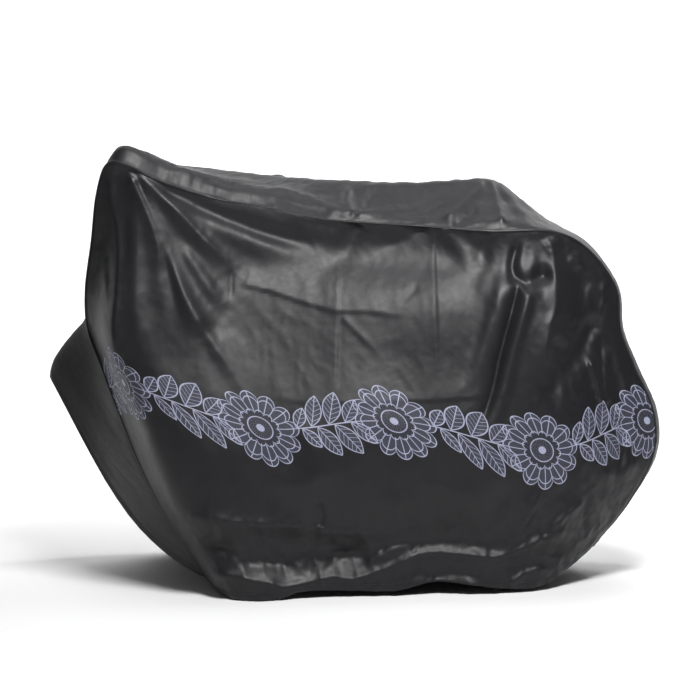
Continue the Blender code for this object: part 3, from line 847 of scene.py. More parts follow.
@dataclass(frozen=True)
class PrintedBand:
    """A garland of rosettes and leaf sprays, drawn in pale lines with slate fills."""

    line_colour: Point = (0.33, 0.345, 0.46)
    fill_colour: Point = (0.042, 0.045, 0.064)
    repeat: float = 0.66  # length of the repeat: one rosette up, one spray, one rosette down
    line: float = 0.0013  # half width of a drawn line
    radius: float = 0.092  # of a rosette
    petals: int = 12
    sway: float = 0.03  # how far the stem and the rosettes swing up and down
    petal_depth: float = 0.22  # share of a ring's radius that its scallops take
    rings: Point = (0.86, 0.5, 0.3)  # of the second petals, the inner petals and the plain ring
    seeds: Point = (0.215, 0.01, 0.28)  # their ring's radius, their swing, and where they end
    seed_count: int = 16
    eye: float = 0.1
    vein_gap: float = 0.0065
    # Each pair of leaves in a spray: where it starts, its lean, length and half width.
    leaf_pairs: tuple[tuple[float, float, float, float], ...] = (
        (-0.078, 55, 0.058, 0.014),
        (-0.04, 62, 0.082, 0.019),
        (0.004, 58, 0.088, 0.021),
        (0.046, 48, 0.07, 0.017),
    )
    leaf_stagger: float = 0.014

    def petal_ring(
        self, graph: Graph, r: Signal, angle: Signal, size: float, petals: int
    ) -> tuple[Signal, Signal]:
        """A ring of round petals: their tips stand on size * (0.78 + 0.22 |cos(n a / 2)|^0.6).

        Args:
            graph: The material's graph.
            r: Distance from the rosette's centre.
            angle: Angle about it.
            size: The tips' radius.
            petals: How many.

        Returns:
            The petals' outline and their inside.
        """
        crest = graph.math("ABSOLUTE", graph.math("COSINE", angle * (petals / 2)))
        rim = graph.math("POWER", crest, 0.6) * (self.petal_depth * size) + (1 - self.petal_depth) * size
        return graph.line(r - rim, self.line), graph.inside(r - rim)

    def rosette(self, graph: Graph, x: Signal, y: Signal) -> tuple[Signal, Signal]:
        """Two rings of petals, ribs between them, a ring of seeds and a filled eye.

        Args:
            graph: The material's graph.
            x: Distance along the band from the rosette's centre.
            y: Distance up from it.

        Returns:
            The drawn lines and the filled parts.
        """
        r = graph.math("SQRT", x * x + y * y)
        angle = graph.math("ARCTAN2", y, x)
        outer, body = self.petal_ring(graph, r, angle, self.radius, self.petals)
        second, _ = self.petal_ring(graph, r, angle, self.radius * self.rings[0], self.petals)
        half_turn = math.pi / self.petals
        inner, core = self.petal_ring(graph, r, angle + half_turn, self.radius * self.rings[1], self.petals)
        turn = graph.math("FRACT", angle * (self.petals / math.tau) + self.petals)
        rib = graph.line((turn - 0.5) * r * (math.tau / self.petals), self.line * 0.8)
        edge = graph.math("PINGPONG", turn, 0.5) * r
        seam = graph.line(edge * (math.tau / self.petals), self.line * 0.8)
        beyond = graph.inside(0.45 * self.radius - r)
        ribs = graph.math("MAXIMUM", rib, seam) * beyond * body
        rings = graph.math("MAXIMUM", graph.line(r - self.rings[2] * self.radius, self.line), inner)
        middle, swing, end = self.seeds
        wave = graph.math("SINE", angle * self.seed_count) * swing
        seeds = graph.line(wave + (r - middle * self.radius) * 0.3, self.line * 0.6)
        seeds = seeds * graph.inside(r - end * self.radius)
        eye = graph.inside(r - self.eye * self.radius)
        lines = graph.math("MAXIMUM", outer, second)
        lines = graph.math("MAXIMUM", lines, graph.math("MAXIMUM", ribs, rings))
        lines = graph.math("MAXIMUM", lines, graph.math("MAXIMUM", seeds, eye))
        return lines, graph.math("MAXIMUM", body - core * 0.55, core * 0.2)

    def leaf(
        self, graph: Graph, x: Signal, y: Signal, root: Spot, turn: float, size: Spot
    ) -> tuple[Signal, Signal]:
        """A pointed leaf: |y| is under half * 4 t (1 - t), with t the share of its length.

        Args:
            graph: The material's graph.
            x: Distance along the band from the spray's middle.
            y: Distance up from it.
            root: Where the leaf grows from.
            turn: Its direction, in degrees.
            size: Its length and half width.

        Returns:
            The leaf's drawn lines and its inside.
        """
        cos, sin = math.cos(math.radians(turn)), math.sin(math.radians(turn))
        along = x * cos + y * sin - (root[0] * cos + root[1] * sin)
        aside = graph.math("ABSOLUTE", y * cos - x * sin - (root[1] * cos - root[0] * sin))
        t = graph.math("MULTIPLY", along, 1 / size[0], clamp=True)
        edge = aside - t * (1 - t) * (4 * size[1])
        inside = graph.inside(edge) * graph.inside(along * -1) * graph.inside(along - size[0])
        outline = graph.line(edge, self.line) * graph.inside(along * -1) * graph.inside(along - size[0])
        rib = graph.line(aside, self.line * 0.7) * inside
        veins = graph.math("PINGPONG", along - aside * 0.9, self.vein_gap)
        veins = graph.line(veins, self.line * 0.45) * inside
        return graph.math("MAXIMUM", graph.math("MAXIMUM", outline, rib), veins), inside

    def spray(self, graph: Graph, x: Signal, y: Signal) -> tuple[Signal, Signal]:
        """Pairs of leaves on both sides of the stem, larger towards the spray's middle.

        Args:
            graph: The material's graph.
            x: Distance along the band from the spray's middle.
            y: Distance up from the stem.

        Returns:
            The drawn lines and the filled parts.
        """
        lines, fills = None, None
        for start, lean, length, half in self.leaf_pairs:
            for side in (1, -1):
                root = (start + self.leaf_stagger * (side < 0), 0.002 * side)
                drawn, body = self.leaf(graph, x, y, root, side * lean, (length, half))
                lines = drawn if lines is None else graph.math("MAXIMUM", lines, drawn)
                fills = body if fills is None else graph.math("MAXIMUM", fills, body)
        return lines, fills

    def draw(self, graph: Graph) -> tuple[Signal, Signal]:
        """The whole band over the cloth's UV map, whose V is 0 along the band's middle.

        Args:
            graph: The material's graph.

        Returns:
            The drawn lines and the filled parts, from 0 to 1.
        """
        u, v, _ = graph.coordinates("UV")
        u = u + 10 * self.repeat
        sway = graph.math("SINE", u * (math.tau / self.repeat)) * self.sway
        place = graph.math("MODULO", u, self.repeat / 2)
        rose_lines, rose_fills = self.rosette(graph, place - self.repeat / 4, v - sway)
        shifted = graph.math("MODULO", u + self.repeat / 4, self.repeat / 2) - self.repeat / 4
        spray_lines, spray_fills = self.spray(graph, shifted, v - sway)
        from_rose = place - self.repeat / 4
        away = graph.math("SQRT", from_rose * from_rose + (v - sway) * (v - sway))
        stem = graph.line(v - sway, self.line * 1.1) * (1 - graph.inside(away - self.radius * 0.97))
        lines = graph.math("MAXIMUM", graph.math("MAXIMUM", rose_lines, spray_lines), stem)
        return lines, graph.math("MAXIMUM", rose_fills, spray_fills)


@dataclass(frozen=True)
class CoatedCloth:
    """Thin black polyester with a soft gloss, with or without the printed band."""

    name: str
    colour: Point = (0.0105, 0.0105, 0.0122)
    print: PrintedBand | None = None
    roughness: Spot = (0.42, 0.52)
    thread: float = 0.0009  # spacing of the weave's threads
    dull_shaded_front: bool = False  # rougher where it hangs over the front wheel, and painted shade there: a slightly darker, less blue colour

    def material(self) -> bpy.types.Material:
        """The finish: a fine plain weave, small dents and a gloss that varies slowly.

        Returns:
            The material.
        """
        graph = Graph(self.name)
        shader = graph.shader
        shader.inputs["Specular IOR Level"].default_value = 0.30
        shader.inputs["Sheen Weight"].default_value = 0.02
        shader.inputs["Sheen Roughness"].default_value = 0.45
        shader.inputs["Sheen Tint"].default_value = (0.80, 0.82, 1.0, 1)
        slow = graph.noise("Object", 7.0, 3.0)
        fine = graph.noise("Object", 90.0, 2.0)
        rough = graph.between(slow * 0.7 + fine * 0.3, 0.3, 0.7, self.roughness[0], self.roughness[1])
        colour = graph.mixed(slow, [c * 0.85 for c in self.colour], [c * 1.15 for c in self.colour])
        if self.dull_shaded_front:
            x, _, _ = graph.coordinates("Object")
            front = graph.between(x, -0.66, -0.56, 1.0, 0.0)
            rough = rough + front * 0.25
            # painted shade: the front end gets a slightly darker, less blue colour for the shade it hangs
            # in
            colour = graph.mixed(front, colour, (0.01, 0.0099, 0.0084))
        u, v, _ = graph.coordinates("UV")
        warp, weft = (graph.math("SINE", way * (math.tau / self.thread)) for way in (u, v))
        weave = warp * weft
        layers = [(weave * 0.5 + 0.5, 0.00006, 0.35), (graph.noise("Object", 26.0, 4.0), 0.0022, 0.30)]
        if self.print is not None:
            lines, fills = self.print.draw(graph)
            wear = graph.between(graph.noise("UV", 260.0, 2.0), 0.25, 0.6, 0.72, 1.0)
            colour = graph.mixed(fills * wear * 0.9, colour, self.print.fill_colour)
            colour = graph.mixed(lines * wear, colour, self.print.line_colour)
            ink = graph.math("MAXIMUM", lines, fills)
            rough = rough + ink * 0.08
            layers.append((ink, 0.0001, 0.5))
        graph.feed(shader.inputs["Base Color"], colour)
        graph.feed(shader.inputs["Roughness"], rough)
        graph.bump(layers)
        return graph.material


@dataclass(frozen=True)
class SewingThread:
    """Black polyester thread, a little lighter than the cloth and twisted."""

    name: str = "sewing_thread"
    colour: Point = (0.022, 0.022, 0.025)

    def material(self) -> bpy.types.Material:
        """The finish, with a fine twist across each stitch.

        Returns:
            The material.
        """
        graph = Graph(self.name)
        tint = graph.noise("Object", 400.0, 1.0)
        colour = graph.mixed(tint, self.colour, [c * 1.6 for c in self.colour])
        graph.feed(graph.shader.inputs["Base Color"], colour)
        graph.shader.inputs["Roughness"].default_value = 0.5
        graph.bump([(graph.noise("Object", 2400.0, 1.0), 0.0001, 0.5)])
        return graph.material


@dataclass(frozen=True)
class StudioPaper:
    """Plain pale paper for the floor and the backdrop."""

    name: str = "studio_paper"
    colour: Point = (0.86, 0.86, 0.86)

    def material(self) -> bpy.types.Material:
        """The finish.

        Returns:
            The material.
        """
        graph = Graph(self.name)
        graph.shader.inputs["Base Color"].default_value = (*self.colour, 1)
        graph.shader.inputs["Roughness"].default_value = 0.9
        graph.shader.inputs["Specular IOR Level"].default_value = 0.1
        return graph.material


# ------------------------------------------------------------------------------ the cover


@dataclass
class CoverShape:
    """The cover's form: where its seams run, and how each sheet hangs between them."""

    length_cells: int = 280
    height_cells: int = 165
    across_cells: int = 36
    front_turn: float = 0.13
    rear_turn: float = 0.22
    crown_round: float = 0.25
    roll_from_seam: float = 0.08
    hem_dip: float = 0.054
    hem_dip_sections: float = 4.0
    hem_dip_way: Spot = (0.8, 0.6)  # forward and down
    hem_depth: float = 0.018
    hem_step: float = 0.0006
    hem_edge: float = 0.006  # length over which the hem's double cloth ends
    pucker_size: Spot = (0.014, 0.05)  # along the hem and up from it
    pucker_reach: float = 0.012
    pucker_height: float = 0.0012
    swell_hold: Spot = (0.12, 0.05)  # shares of the height over which swellings die out: hem, seam
    fold_border: Spot = (0.04, 0.035)  # the same for folds: front and rear, top
    crease_border: float = 0.015
    side_roughness: float = 0.3  # strength of a side panel's small creases
    strip_roughness: Point = (0.35, 0.9, 0.5)  # the strip's: everywhere, more on top, more at the rear
    rear_creases: Spot = (17.5, 1.5)  # first section, and how many they take to grow
    strip_crease_border: float = 0.03
    strip_fold_border: float = 0.06
    near_share: float = 0.35  # how far past the strip's middle its folds reach
    top_sections: Spot = (9.5, 18.0)
    free_edge_power: int = 24
    roll_fall: float = 0.35  # how slowly the roll falls away from the near seam
    peaks_above: float = 0.8
    tables_shift: Point = (CENTRE_X, 0.0, 0.0)

    def seam_numbers(self) -> tuple[Array, Array, Array]:
        """Section numbers up the front, along the top and down the rear, evenly apart."""
        near = [section.near for section in SECTIONS]
        return (
            evenly(near, 0, GRIP_SECTION, self.height_cells),
            evenly(near, GRIP_SECTION, SHOULDER_SECTION, self.length_cells),
            evenly(near, SHOULDER_SECTION, len(SECTIONS) - 1, self.height_cells),
        )

    def round_the_seam(self) -> Array:
        """Section numbers along a whole seam, front hem to rear hem."""
        front, top, rear = self.seam_numbers()
        return np.concatenate([front[:-1], top[:-1], rear])

    def turned_up(self, up: Array) -> Array:
        """The hem's double cloth: the step's height up to the hem's depth, eased off past it."""
        return self.hem_step * (1 - eased((up - self.hem_depth) / self.hem_edge + 0.5))

    def side(
        self,
        seam: list[Point],
        hem: list[Point],
        outward: int,
        swells: list[Swell],
        folds: list[Fold],
        crumple: Crumple,
    ) -> Array:
        """A side panel's points: hem to top seam, front to rear.

        X and Z are a Coons patch between the hem and the three stretches of the seam. Y runs
        straight from the hem to the top seam, swells outward, turns to meet the seam at the
        front and rear, and then takes the folds, the crumples and the hem's thickness.

        Args:
            seam: The seam's points, one for each section.
            hem: The hem's points.
            outward: -1 for the near side and 1 for the far one.
            swells: Its broad swellings.
            folds: Its folds.
            crumple: The noise of its small creases.

        Returns:
            The grid of points.
        """
        front, top, rear = (through(seam, numbers) for numbers in self.seam_numbers())
        rear = rear[::-1]
        bottom = through(hem, evenly(hem, 0, len(hem) - 1, self.length_cells))
        u = np.linspace(0, 1, self.length_cells + 1)[None, :, None]
        v = np.linspace(0, 1, self.height_cells + 1)[:, None, None]
        rise = (1 - v) * bottom[None] + v * top[None]
        run = (1 - u) * front[:, None] + u * rear[:, None]
        corners = (1 - u) * ((1 - v) * bottom[0] + v * top[0]) + u * ((1 - v) * bottom[-1] + v * top[-1])
        grid = rise + run - corners
        x, z = grid[..., 0].copy(), grid[..., 2].copy()
        u, v = u[..., 0], v[..., 0]
        held = eased(v / self.swell_hold[0]) * eased((1 - v) / self.swell_hold[1])
        y = rise[..., 1] + outward * held * sum(swell_height(swell, x, z) for swell in swells)
        at_front = (1 - eased(u / self.front_turn)) ** 1.5
        at_rear = (1 - eased((1 - u) / self.rear_turn)) ** 1.5
        y = y + at_front * (front[:, 1:2] - y[:, :1]) + at_rear * (rear[:, 1:2] - y[:, -1:])
        ends, top_edge = self.fold_border
        border = eased(u / ends) * eased((1 - u) / ends) * eased((1 - v) / top_edge)
        out = folded(folds, x, z) * border
        rough = ramped(SIDE_ROUGHER, grid, self.side_roughness)
        edge = self.crease_border
        crease = crumple.layers(x, z, SIDE_CREASES)
        out = out + crease * rough * eased(u / edge) * eased((1 - u) / edge) * eased((1 - v) / edge)
        grid[..., 1] = y + outward * out
        up = run_length(grid)
        ripple = crumple.wave(run_length(grid, 1) / self.pucker_size[0], up / self.pucker_size[1])
        pucker = np.exp(-(((up - self.hem_depth) / self.pucker_reach) ** 2)) * ripple
        grid[..., 1] += outward * (self.turned_up(up) + self.pucker_height * pucker)
        return grid

    def gusset(self, crumple: Crumple) -> Array:
        """The strip's points: front hem to rear hem, near seam to far seam.

        Each section is the chord between its two seams, lifted towards its ridge by
        (sqrt(1 + r^2) - sqrt(t^2 + r^2)) / (sqrt(1 + r^2) - r), a tent with a rounded crown.
        It rolls up beside the near seam, is drawn up over the peaks, and the front hem hangs
        out on both sides of the front wheel. Folds and crumples move it along its normals.

        Args:
            crumple: The noise of its small creases.

        Returns:
            The grid of points.
        """
        numbers = self.round_the_seam()
        near, ridge, far = (through([section[k] for section in SECTIONS], numbers) for k in range(3))
        roll = through([(section.roll,) for section in SECTIONS], numbers)
        t = np.sin(np.linspace(-np.pi / 2, np.pi / 2, self.across_cells + 1))
        across = t[None, :, None]
        chord = (1 - across) / 2 * near[:, None] + (1 + across) / 2 * far[:, None]
        r = self.crown_round
        tent = (np.sqrt(1 + r**2) - np.sqrt(across**2 + r**2)) / (np.sqrt(1 + r**2) - r)
        grid = chord + tent * (ridge - (near + far) / 2)[:, None]
        free_edge = 1 - np.abs(t) ** self.free_edge_power
        inner = self.roll_from_seam
        from_roll = (t + 1 - inner) / np.where(t + 1 < inner, inner / 2, self.roll_fall)
        grid[..., 2] += roll * np.exp(-(from_roll**2)) * free_edge
        for peak in PEAKS:
            reach = ((grid[..., 0] - peak.x) ** 2 + (grid[..., 1] - peak.y) ** 2) / peak.reach**2
            grid[..., 2] += peak.rise * np.exp(-reach) * (grid[..., 2] > self.peaks_above) * free_edge
        dip = self.hem_dip * np.clip(1 - numbers / self.hem_dip_sections, 0, 1)[:, None] ** 2
        dip = dip * 4 * t**2 * (1 - t**2)
        grid[..., 0] -= self.hem_dip_way[0] * dip
        grid[..., 2] -= self.hem_dip_way[1] * dip
        on_top = eased(numbers - self.top_sections[0]) * eased(self.top_sections[1] - numbers)
        near_half = eased((self.near_share - t) / self.near_share)
        edges = eased((1 - np.abs(t)) / self.strip_fold_border)
        folds = folded(GUSSET_FOLDS, grid[..., 0], grid[..., 2]) * on_top[:, None] * near_half * edges
        along = run_length(grid)
        side = run_length(grid, 1)
        rear = eased((numbers - self.rear_creases[0]) / self.rear_creases[1])
        rough = self.strip_roughness[0] + self.strip_roughness[1] * on_top + self.strip_roughness[2] * rear
        crease = crumple.layers(along, side, STRIP_CREASES)
        out = folds + crease * rough[:, None] * eased((1 - np.abs(t)) / self.strip_crease_border)
        end = np.minimum(along, along[-1:] - along)
        out = out + self.turned_up(end)
        return grid - normals_of(grid) * out[..., None]


@dataclass
class Seam:
    """A felled seam between a side panel and the gusset, with two rows of stitches."""

    name: str
    path: Array
    outward: Array
    half_width: float = 0.0034
    height: float = 0.0012
    sides: int = 10

    def frame(self) -> tuple[Array, Array]:
        """The path's outward and sideways directions, square to its tangent."""
        tangent = np.gradient(self.path, axis=0)
        tangent /= np.linalg.norm(tangent, axis=1, keepdims=True)
        out = self.outward - (self.outward * tangent).sum(1, keepdims=True) * tangent
        out /= np.linalg.norm(out, axis=1, keepdims=True)
        return out, np.cross(tangent, out)

    def build(self) -> bpy.types.Object:
        """The seam's flat cord: an ellipse of the half width and height, carried along the path.

        Returns:
            The closed piece.
        """
        out, aside = self.frame()
        angle = np.arange(self.sides) * (math.tau / self.sides)
        ring = (
            self.path[:, None]
            + out[:, None] * (np.sin(angle)[:, None] * self.height)
            + aside[:, None] * (np.cos(angle)[:, None] * self.half_width)
        )
        count = len(self.path)
        index = np.arange(count * self.sides).reshape(count, self.sides)
        turned = np.roll(index, -1, axis=1)
        walls = np.stack([index[:-1], turned[:-1], turned[1:], index[1:]], axis=-1).reshape(-1, 4)
        middles = np.stack([self.path[0], self.path[-1]])
        points = np.concatenate([ring.reshape(-1, 3), middles])
        first, last = count * self.sides, count * self.sides + 1
        half = self.sides // 2
        before = np.roll(index, 1, axis=1)
        caps = np.concatenate([
            np.stack([np.full(half, first), turned[0, ::2], index[0, ::2], before[0, ::2]], -1),
            np.stack([np.full(half, last), before[-1, ::2], index[-1, ::2], turned[-1, ::2]], -1),
        ])
        piece = put_mesh(self.name, points, np.concatenate([walls, caps]))
        face_out(piece)
        return piece

    def stitch_rows(self, spread: float = 0.55) -> list[tuple[Array, Array]]:
        """The two rows of stitches on top of the cord.

        Args:
            spread: How far they stand from its middle, as a share of its half width.

        Returns:
            For each row its path and its outward directions.
        """
        out, aside = self.frame()
        lift = self.height * math.sqrt(1 - spread**2)
        way = aside * (spread * self.half_width)
        return [(self.path + out * lift + way * side, out) for side in (-1, 1)]


def face_out(piece: bpy.types.Object) -> None:
    """Turns a closed mesh's faces outward, if their volume comes out negative."""
    mesh = piece.data
    mesh.calc_loop_triangles()
    points = np.empty(len(mesh.vertices) * 3, np.float32)
    mesh.vertices.foreach_get("co", points)
    corners = np.empty(len(mesh.loop_triangles) * 3, np.int32)
    mesh.loop_triangles.foreach_get("vertices", corners)
    triangles = points.reshape(-1, 3)[corners.reshape(-1, 3)]
    if np.linalg.det(triangles.astype(float)).sum() < 0:
        mesh.flip_normals()


@dataclass
class Stitching:
    """Lock stitches along one or more paths, joined into one mesh."""

    name: str
    pitch: float = 0.005
    length: float = 0.0036
    thickness: float = 0.00045
    belly: float = 0.28  # where its two rings stand, as shares of its length from its middle
    sink: float = 0.4  # how far its tips go into the cloth, in thicknesses
    rows: list[tuple[Array, Array]] = field(default_factory=list)

    def row(self, path: Array, outward: Array) -> tuple[Array, Array]:
        """One row of stitches: a long eight-sided drop for each, lying along the path.

        Args:
            path: The row's path.
            outward: The cloth's outward direction along it.

        Returns:
            The stitches' points and triangles.
        """
        run = run_length(path)
        at = np.arange(self.pitch, run[-1] - self.pitch, self.pitch)
        place = np.stack([np.interp(at, run, path[:, k]) for k in range(3)], -1)
        ahead = np.stack([np.interp(at + self.length / 2, run, path[:, k]) for k in range(3)], -1)
        out = np.stack([np.interp(at, run, outward[:, k]) for k in range(3)], -1)
        along = (ahead - place) / np.linalg.norm(ahead - place, axis=1, keepdims=True)
        out /= np.linalg.norm(out, axis=1, keepdims=True)
        aside = np.cross(along, out)
        # A tip, a ring of four, a ring of four, a tip: along, out and aside of each point.
        turns = np.arange(4) * math.pi / 2
        ring = [(s * self.belly, math.sin(a), math.cos(a)) for s in (-1, 1) for a in turns]
        shape = np.array([(-0.5, -self.sink, 0.0), *ring, (0.5, -self.sink, 0.0)])
        scale = np.array([self.length, self.thickness, self.thickness])
        shape = shape * scale
        ways = enumerate((along, out, aside))
        points = place[:, None] + sum(shape[None, :, k, None] * way[:, None] for k, way in ways)
        quad = [(1 + k, 1 + (k + 1) % 4, 5 + (k + 1) % 4, 5 + k) for k in range(4)]
        faces = [(0, 1 + (k + 1) % 4, 1 + k) for k in range(4)]
        faces += [(9, 5 + k, 5 + (k + 1) % 4) for k in range(4)]
        faces += [(a, b, c) for a, b, c, _ in quad] + [(a, c, d) for a, _, c, d in quad]
        index = np.array(faces)[None] + 10 * np.arange(len(at))[:, None, None]
        return points.reshape(-1, 3), index.reshape(-1, 3)

    def build(self) -> bpy.types.Object:
        """All rows as one piece.

        Returns:
            The piece.
        """
        made = [self.row(path, outward) for path, outward in self.rows]
        counts = np.cumsum([0] + [len(points) for points, _ in made])
        points = np.concatenate([points for points, _ in made])
        faces = np.concatenate([faces + start for (_, faces), start in zip(made, counts)])
        piece = put_mesh(self.name, points, faces)
        face_out(piece)
        return piece


def row_at(grid: Array, height: float) -> Array:
    """The path at a given length up each column of a grid, from its first row.

    Args:
        grid: The points.
        height: The length along each column.

    Returns:
        One point for each column, on the straight line between its two neighbours.
    """
    run = run_length(grid)
    upper = np.argmax(run >= height, axis=0)
    columns = np.arange(grid.shape[1])
    low, high = run[upper - 1, columns], run[upper, columns]
    share = ((height - low) / np.maximum(high - low, 1e-9))[:, None]
    return grid[upper - 1, columns] * (1 - share) + grid[upper, columns] * share


@dataclass
class Cover:
    """The whole cover: three sheets, their seams and their stitches."""

    shape: CoverShape = field(default_factory=CoverShape)
    cloth: float = 0.001
    stitch_inset: float = 0.002  # from the hem's fold to its row of stitches
    pieces: list[bpy.types.Object] = field(default_factory=list)

    def band_uv(self, grid: Array) -> Array:
        """UV in metres: U runs along the print's middle line, and V up the cloth from it.

        Args:
            grid: The near side panel's points.

        Returns:
            A pair for each point of the grid.
        """
        middle = np.interp(grid[..., 0], *zip(*PRINT_LINE))
        above = np.argmax(grid[..., 2] > middle, axis=0)
        columns = np.arange(grid.shape[1])
        run = run_length(grid)
        over = (grid[..., 2] - middle)[above, columns]
        under = (grid[..., 2] - middle)[above - 1, columns]
        share = -under / (over - under)
        start = run[above - 1, columns] * (1 - share) + run[above, columns] * share
        line = grid[above - 1, columns] * (1 - share[:, None]) + grid[above, columns] * share[:, None]
        along = run_length(line)
        return np.stack([np.broadcast_to(along, run.shape), run - start], axis=-1)

    def plain_uv(self, grid: Array) -> Array:
        """UV in metres: the lengths run along and up the grid from its first corner."""
        return np.stack([run_length(grid, 1), run_length(grid)], axis=-1)

    def sheet(
        self, name: str, grid: Array, turned: bool, uv: Array, finish: CoatedCloth, node: str
    ) -> bpy.types.Object:
        """One sheet of cloth, dressed and tied to the frame.

        Args:
            name: The piece's name.
            grid: Its points.
            turned: Whether its faces turn round.
            uv: Its UV map.
            finish: Its finish.
            node: The CAD node that it replaces.

        Returns:
            The piece.
        """
        rows, columns = grid.shape[:2]
        piece = put_mesh(name, grid.reshape(-1, 3), grid_faces(rows, columns, turned))
        put_uv(piece, uv.reshape(-1, 2))
        piece.data.materials.append(finish.material())
        thicken(piece, self.cloth)
        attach(piece, "root")
        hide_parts(node)
        self.pieces.append(piece)
        LOG.info("%s: %d quads, %.3f square metres", name, (rows - 1) * (columns - 1), grid_area(grid))
        return piece

    def trim(self, piece: bpy.types.Object, finish: bpy.types.Material) -> bpy.types.Object:
        """Dresses a seam or a row of stitches and ties it to the frame.

        Args:
            piece: The piece.
            finish: Its material.

        Returns:
            The piece.
        """
        piece.data.materials.append(finish)
        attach(piece, "root")
        self.pieces.append(piece)
        LOG.info("%s: %d faces", piece.name, len(piece.data.polygons))
        return piece

    def build(self) -> None:
        shift = np.array(self.shape.tables_shift)
        near_seam, far_seam = ([section[k] for section in SECTIONS] for k in (0, 2))
        near = self.shape.side(near_seam, NEAR_HEM, -1, NEAR_SWELLS, NEAR_FOLDS, Crumple(11))
        far = self.shape.side(far_seam, FAR_HEM, 1, FAR_SWELLS, FAR_FOLDS, Crumple(23))
        gusset = self.shape.gusset(Crumple(37))
        near_uv, far_uv, gusset_uv = self.band_uv(near), self.plain_uv(far), self.plain_uv(gusset)
        near, far, gusset = near + shift, far + shift, gusset + shift
        printed = CoatedCloth("printed_side_cloth", print=PrintedBand())
        plain = CoatedCloth("plain_side_cloth")
        strip = CoatedCloth("gusset_cloth", dull_shaded_front=True)
        near_piece = self.sheet(
            "near_side_cloth", near, False, near_uv, printed, "near_side_panel"
        )
        far_piece = self.sheet(
            "far_side_cloth", far, True, far_uv, plain, "far_side_panel"
        )
        strip_piece = self.sheet(
            "gusset_strip_cloth", gusset, True, gusset_uv, strip, "top_gusset"
        )

        gusset_out = -normals_of(gusset)
        seam_cloth = strip_piece.data.materials[0]
        rows = []
        for name, panel, out, edge in (("near_seam", near, 1, 0), ("far_seam", far, -1, -1)):
            panel_out = out * self.round_edge(normals_of(panel))
            seam = Seam(name, gusset[:, edge], gusset_out[:, edge] + panel_out)
            self.trim(seam.build(), seam_cloth)
            rows += seam.stitch_rows()
        lift = self.cloth / 2 + self.shape.hem_step
        for panel, out in ((near, 1), (far, -1)):
            normal = out * normals_of(panel)
            at = row_at(panel, self.shape.hem_depth - self.stitch_inset)
            rows.append((at + normal[3] * lift, normal[3]))
        for ends, normal in ((gusset, gusset_out), (gusset[::-1], gusset_out[::-1])):
            at = row_at(ends, self.shape.hem_depth - self.stitch_inset)
            rows.append((at + normal[3] * lift, normal[3]))
        stitching = Stitching("seam_and_hem_stitches", rows=rows)
        stitches = self.trim(stitching.build(), SewingThread().material())

    @staticmethod
    def round_edge(values: Array) -> Array:
        """A side panel's border values along its seam: up the front, along the top, down the rear."""
        return np.concatenate([values[:-1, 0], values[-1, :-1], values[::-1, -1]])


# ------------------------------------------------------------------------------- studio


class Lamp(NamedTuple):
    """A soft rectangular light: where it stands, what it points at, its size and its watts."""

    name: str
    place: Point
    aim: Point
    size: Spot
    power: float


LAMPS = [
    Lamp("key", (0.55, -1.7, 2.5), (0.05, 0, 0.7), (0.9, 0.6), 96),
    Lamp("top", (0.0, 0.3, 2.9), (0.0, 0.0, 0.9), (1.6, 0.8), 12),
    Lamp("front_fill", (-2.6, -2.6, 1.7), (-0.2, 0, 0.6), (1.0, 1.0), 3),
    Lamp("backdrop_left", (-1.6, 1.4, 2.8), (-1.0, 3.2, 0.9), (1.6, 0.8), 70),
    Lamp("backdrop_right", (1.6, 1.4, 2.8), (1.0, 3.2, 0.9), (1.6, 0.8), 70),
]


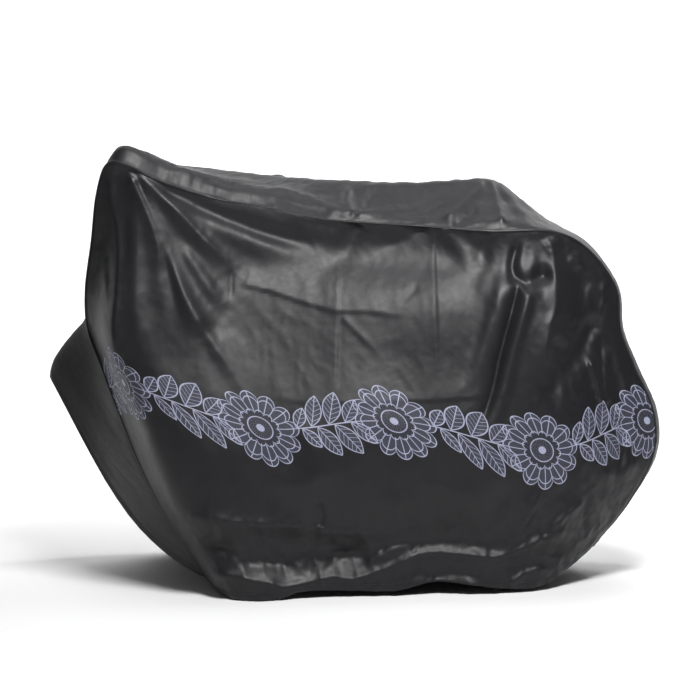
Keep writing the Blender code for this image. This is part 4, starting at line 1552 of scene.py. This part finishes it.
@dataclass
class Studio:
    """Floor, backdrop, soft lights, and the camera."""

    floor_half: float = 5.0
    backdrop_y: float = 3.2
    sweep: float = 1.2
    lens: float = 75.0
    camera_distance: float = 3.62
    camera_pitch: float = 1.925
    wall_top: float = 4.5
    sky: float = 0.06

    def paper(self) -> bpy.types.Object:
        """Floor and backdrop in one sweep: level, then a quarter circle, then upright.

        Returns:
            The stage piece.
        """
        bend = np.linspace(0, math.pi / 2, 24)
        bent = self.backdrop_y - self.sweep * (1 - np.sin(bend))
        y = np.concatenate([[-self.floor_half], bent, [self.backdrop_y]])
        z = np.concatenate([[0.0], self.sweep * (1 - np.cos(bend)), [self.wall_top]])
        x = np.array([-self.floor_half, self.floor_half])
        points = np.stack([
            np.broadcast_to(x[None], (len(y), 2)),
            np.broadcast_to(y[:, None], (len(y), 2)),
            np.broadcast_to(z[:, None] - 0.001, (len(y), 2)),
        ], axis=-1)
        piece = put_mesh("studio_paper", points.reshape(-1, 3), grid_faces(len(y), 2))
        piece.data.materials.append(StudioPaper().material())
        return piece

    def light(self, lamp: Lamp) -> None:
        """Makes a light of the table's row.

        Args:
            lamp: The row.
        """
        made = bpy.data.lights.new(lamp.name, "AREA")
        made.shape = "RECTANGLE"
        made.size, made.size_y = lamp.size
        made.energy = lamp.power
        holder = bpy.data.objects.new(lamp.name, made)
        bpy.context.scene.collection.objects.link(holder)
        holder.location = lamp.place
        way = np.array(lamp.aim) - np.array(lamp.place)
        flat = math.hypot(way[0], way[1])
        holder.rotation_euler = (math.pi / 2 + math.atan2(way[2], flat), 0, math.atan2(-way[0], way[1]))

    def camera(self) -> None:
        """The camera, level with the cover's middle and square to its near side."""
        lens = bpy.data.cameras.new("camera")
        lens.lens = self.lens
        lens.sensor_width = 36.0
        holder = bpy.data.objects.new("camera", lens)
        bpy.context.scene.collection.objects.link(holder)
        holder.location = (CENTRE_X, -self.camera_distance, CAMERA_HEIGHT)
        holder.rotation_euler = (math.radians(90 - self.camera_pitch), 0, 0)
        bpy.context.scene.camera = holder

    def build(self) -> None:
        """Sets the stage."""
        self.paper()
        for lamp in LAMPS:
            self.light(lamp)
        world = bpy.data.worlds.new("studio")
        world.use_nodes = True
        world.node_tree.nodes["Background"].inputs["Color"].default_value = (1, 1, 1, 1)
        world.node_tree.nodes["Background"].inputs["Strength"].default_value = self.sky
        bpy.context.scene.world = world
        bpy.context.scene.view_settings.view_transform = "Standard"
        self.camera()


def main() -> None:
    """Loads the frame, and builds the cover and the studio."""
    logging.basicConfig(level=logging.INFO, format="%(name)s: %(message)s")
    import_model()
    Studio().build()
    cover = Cover()
    cover.build()
    LOG.info("%d pieces", len(cover.pieces))


if __name__ == "__main__":
    main()
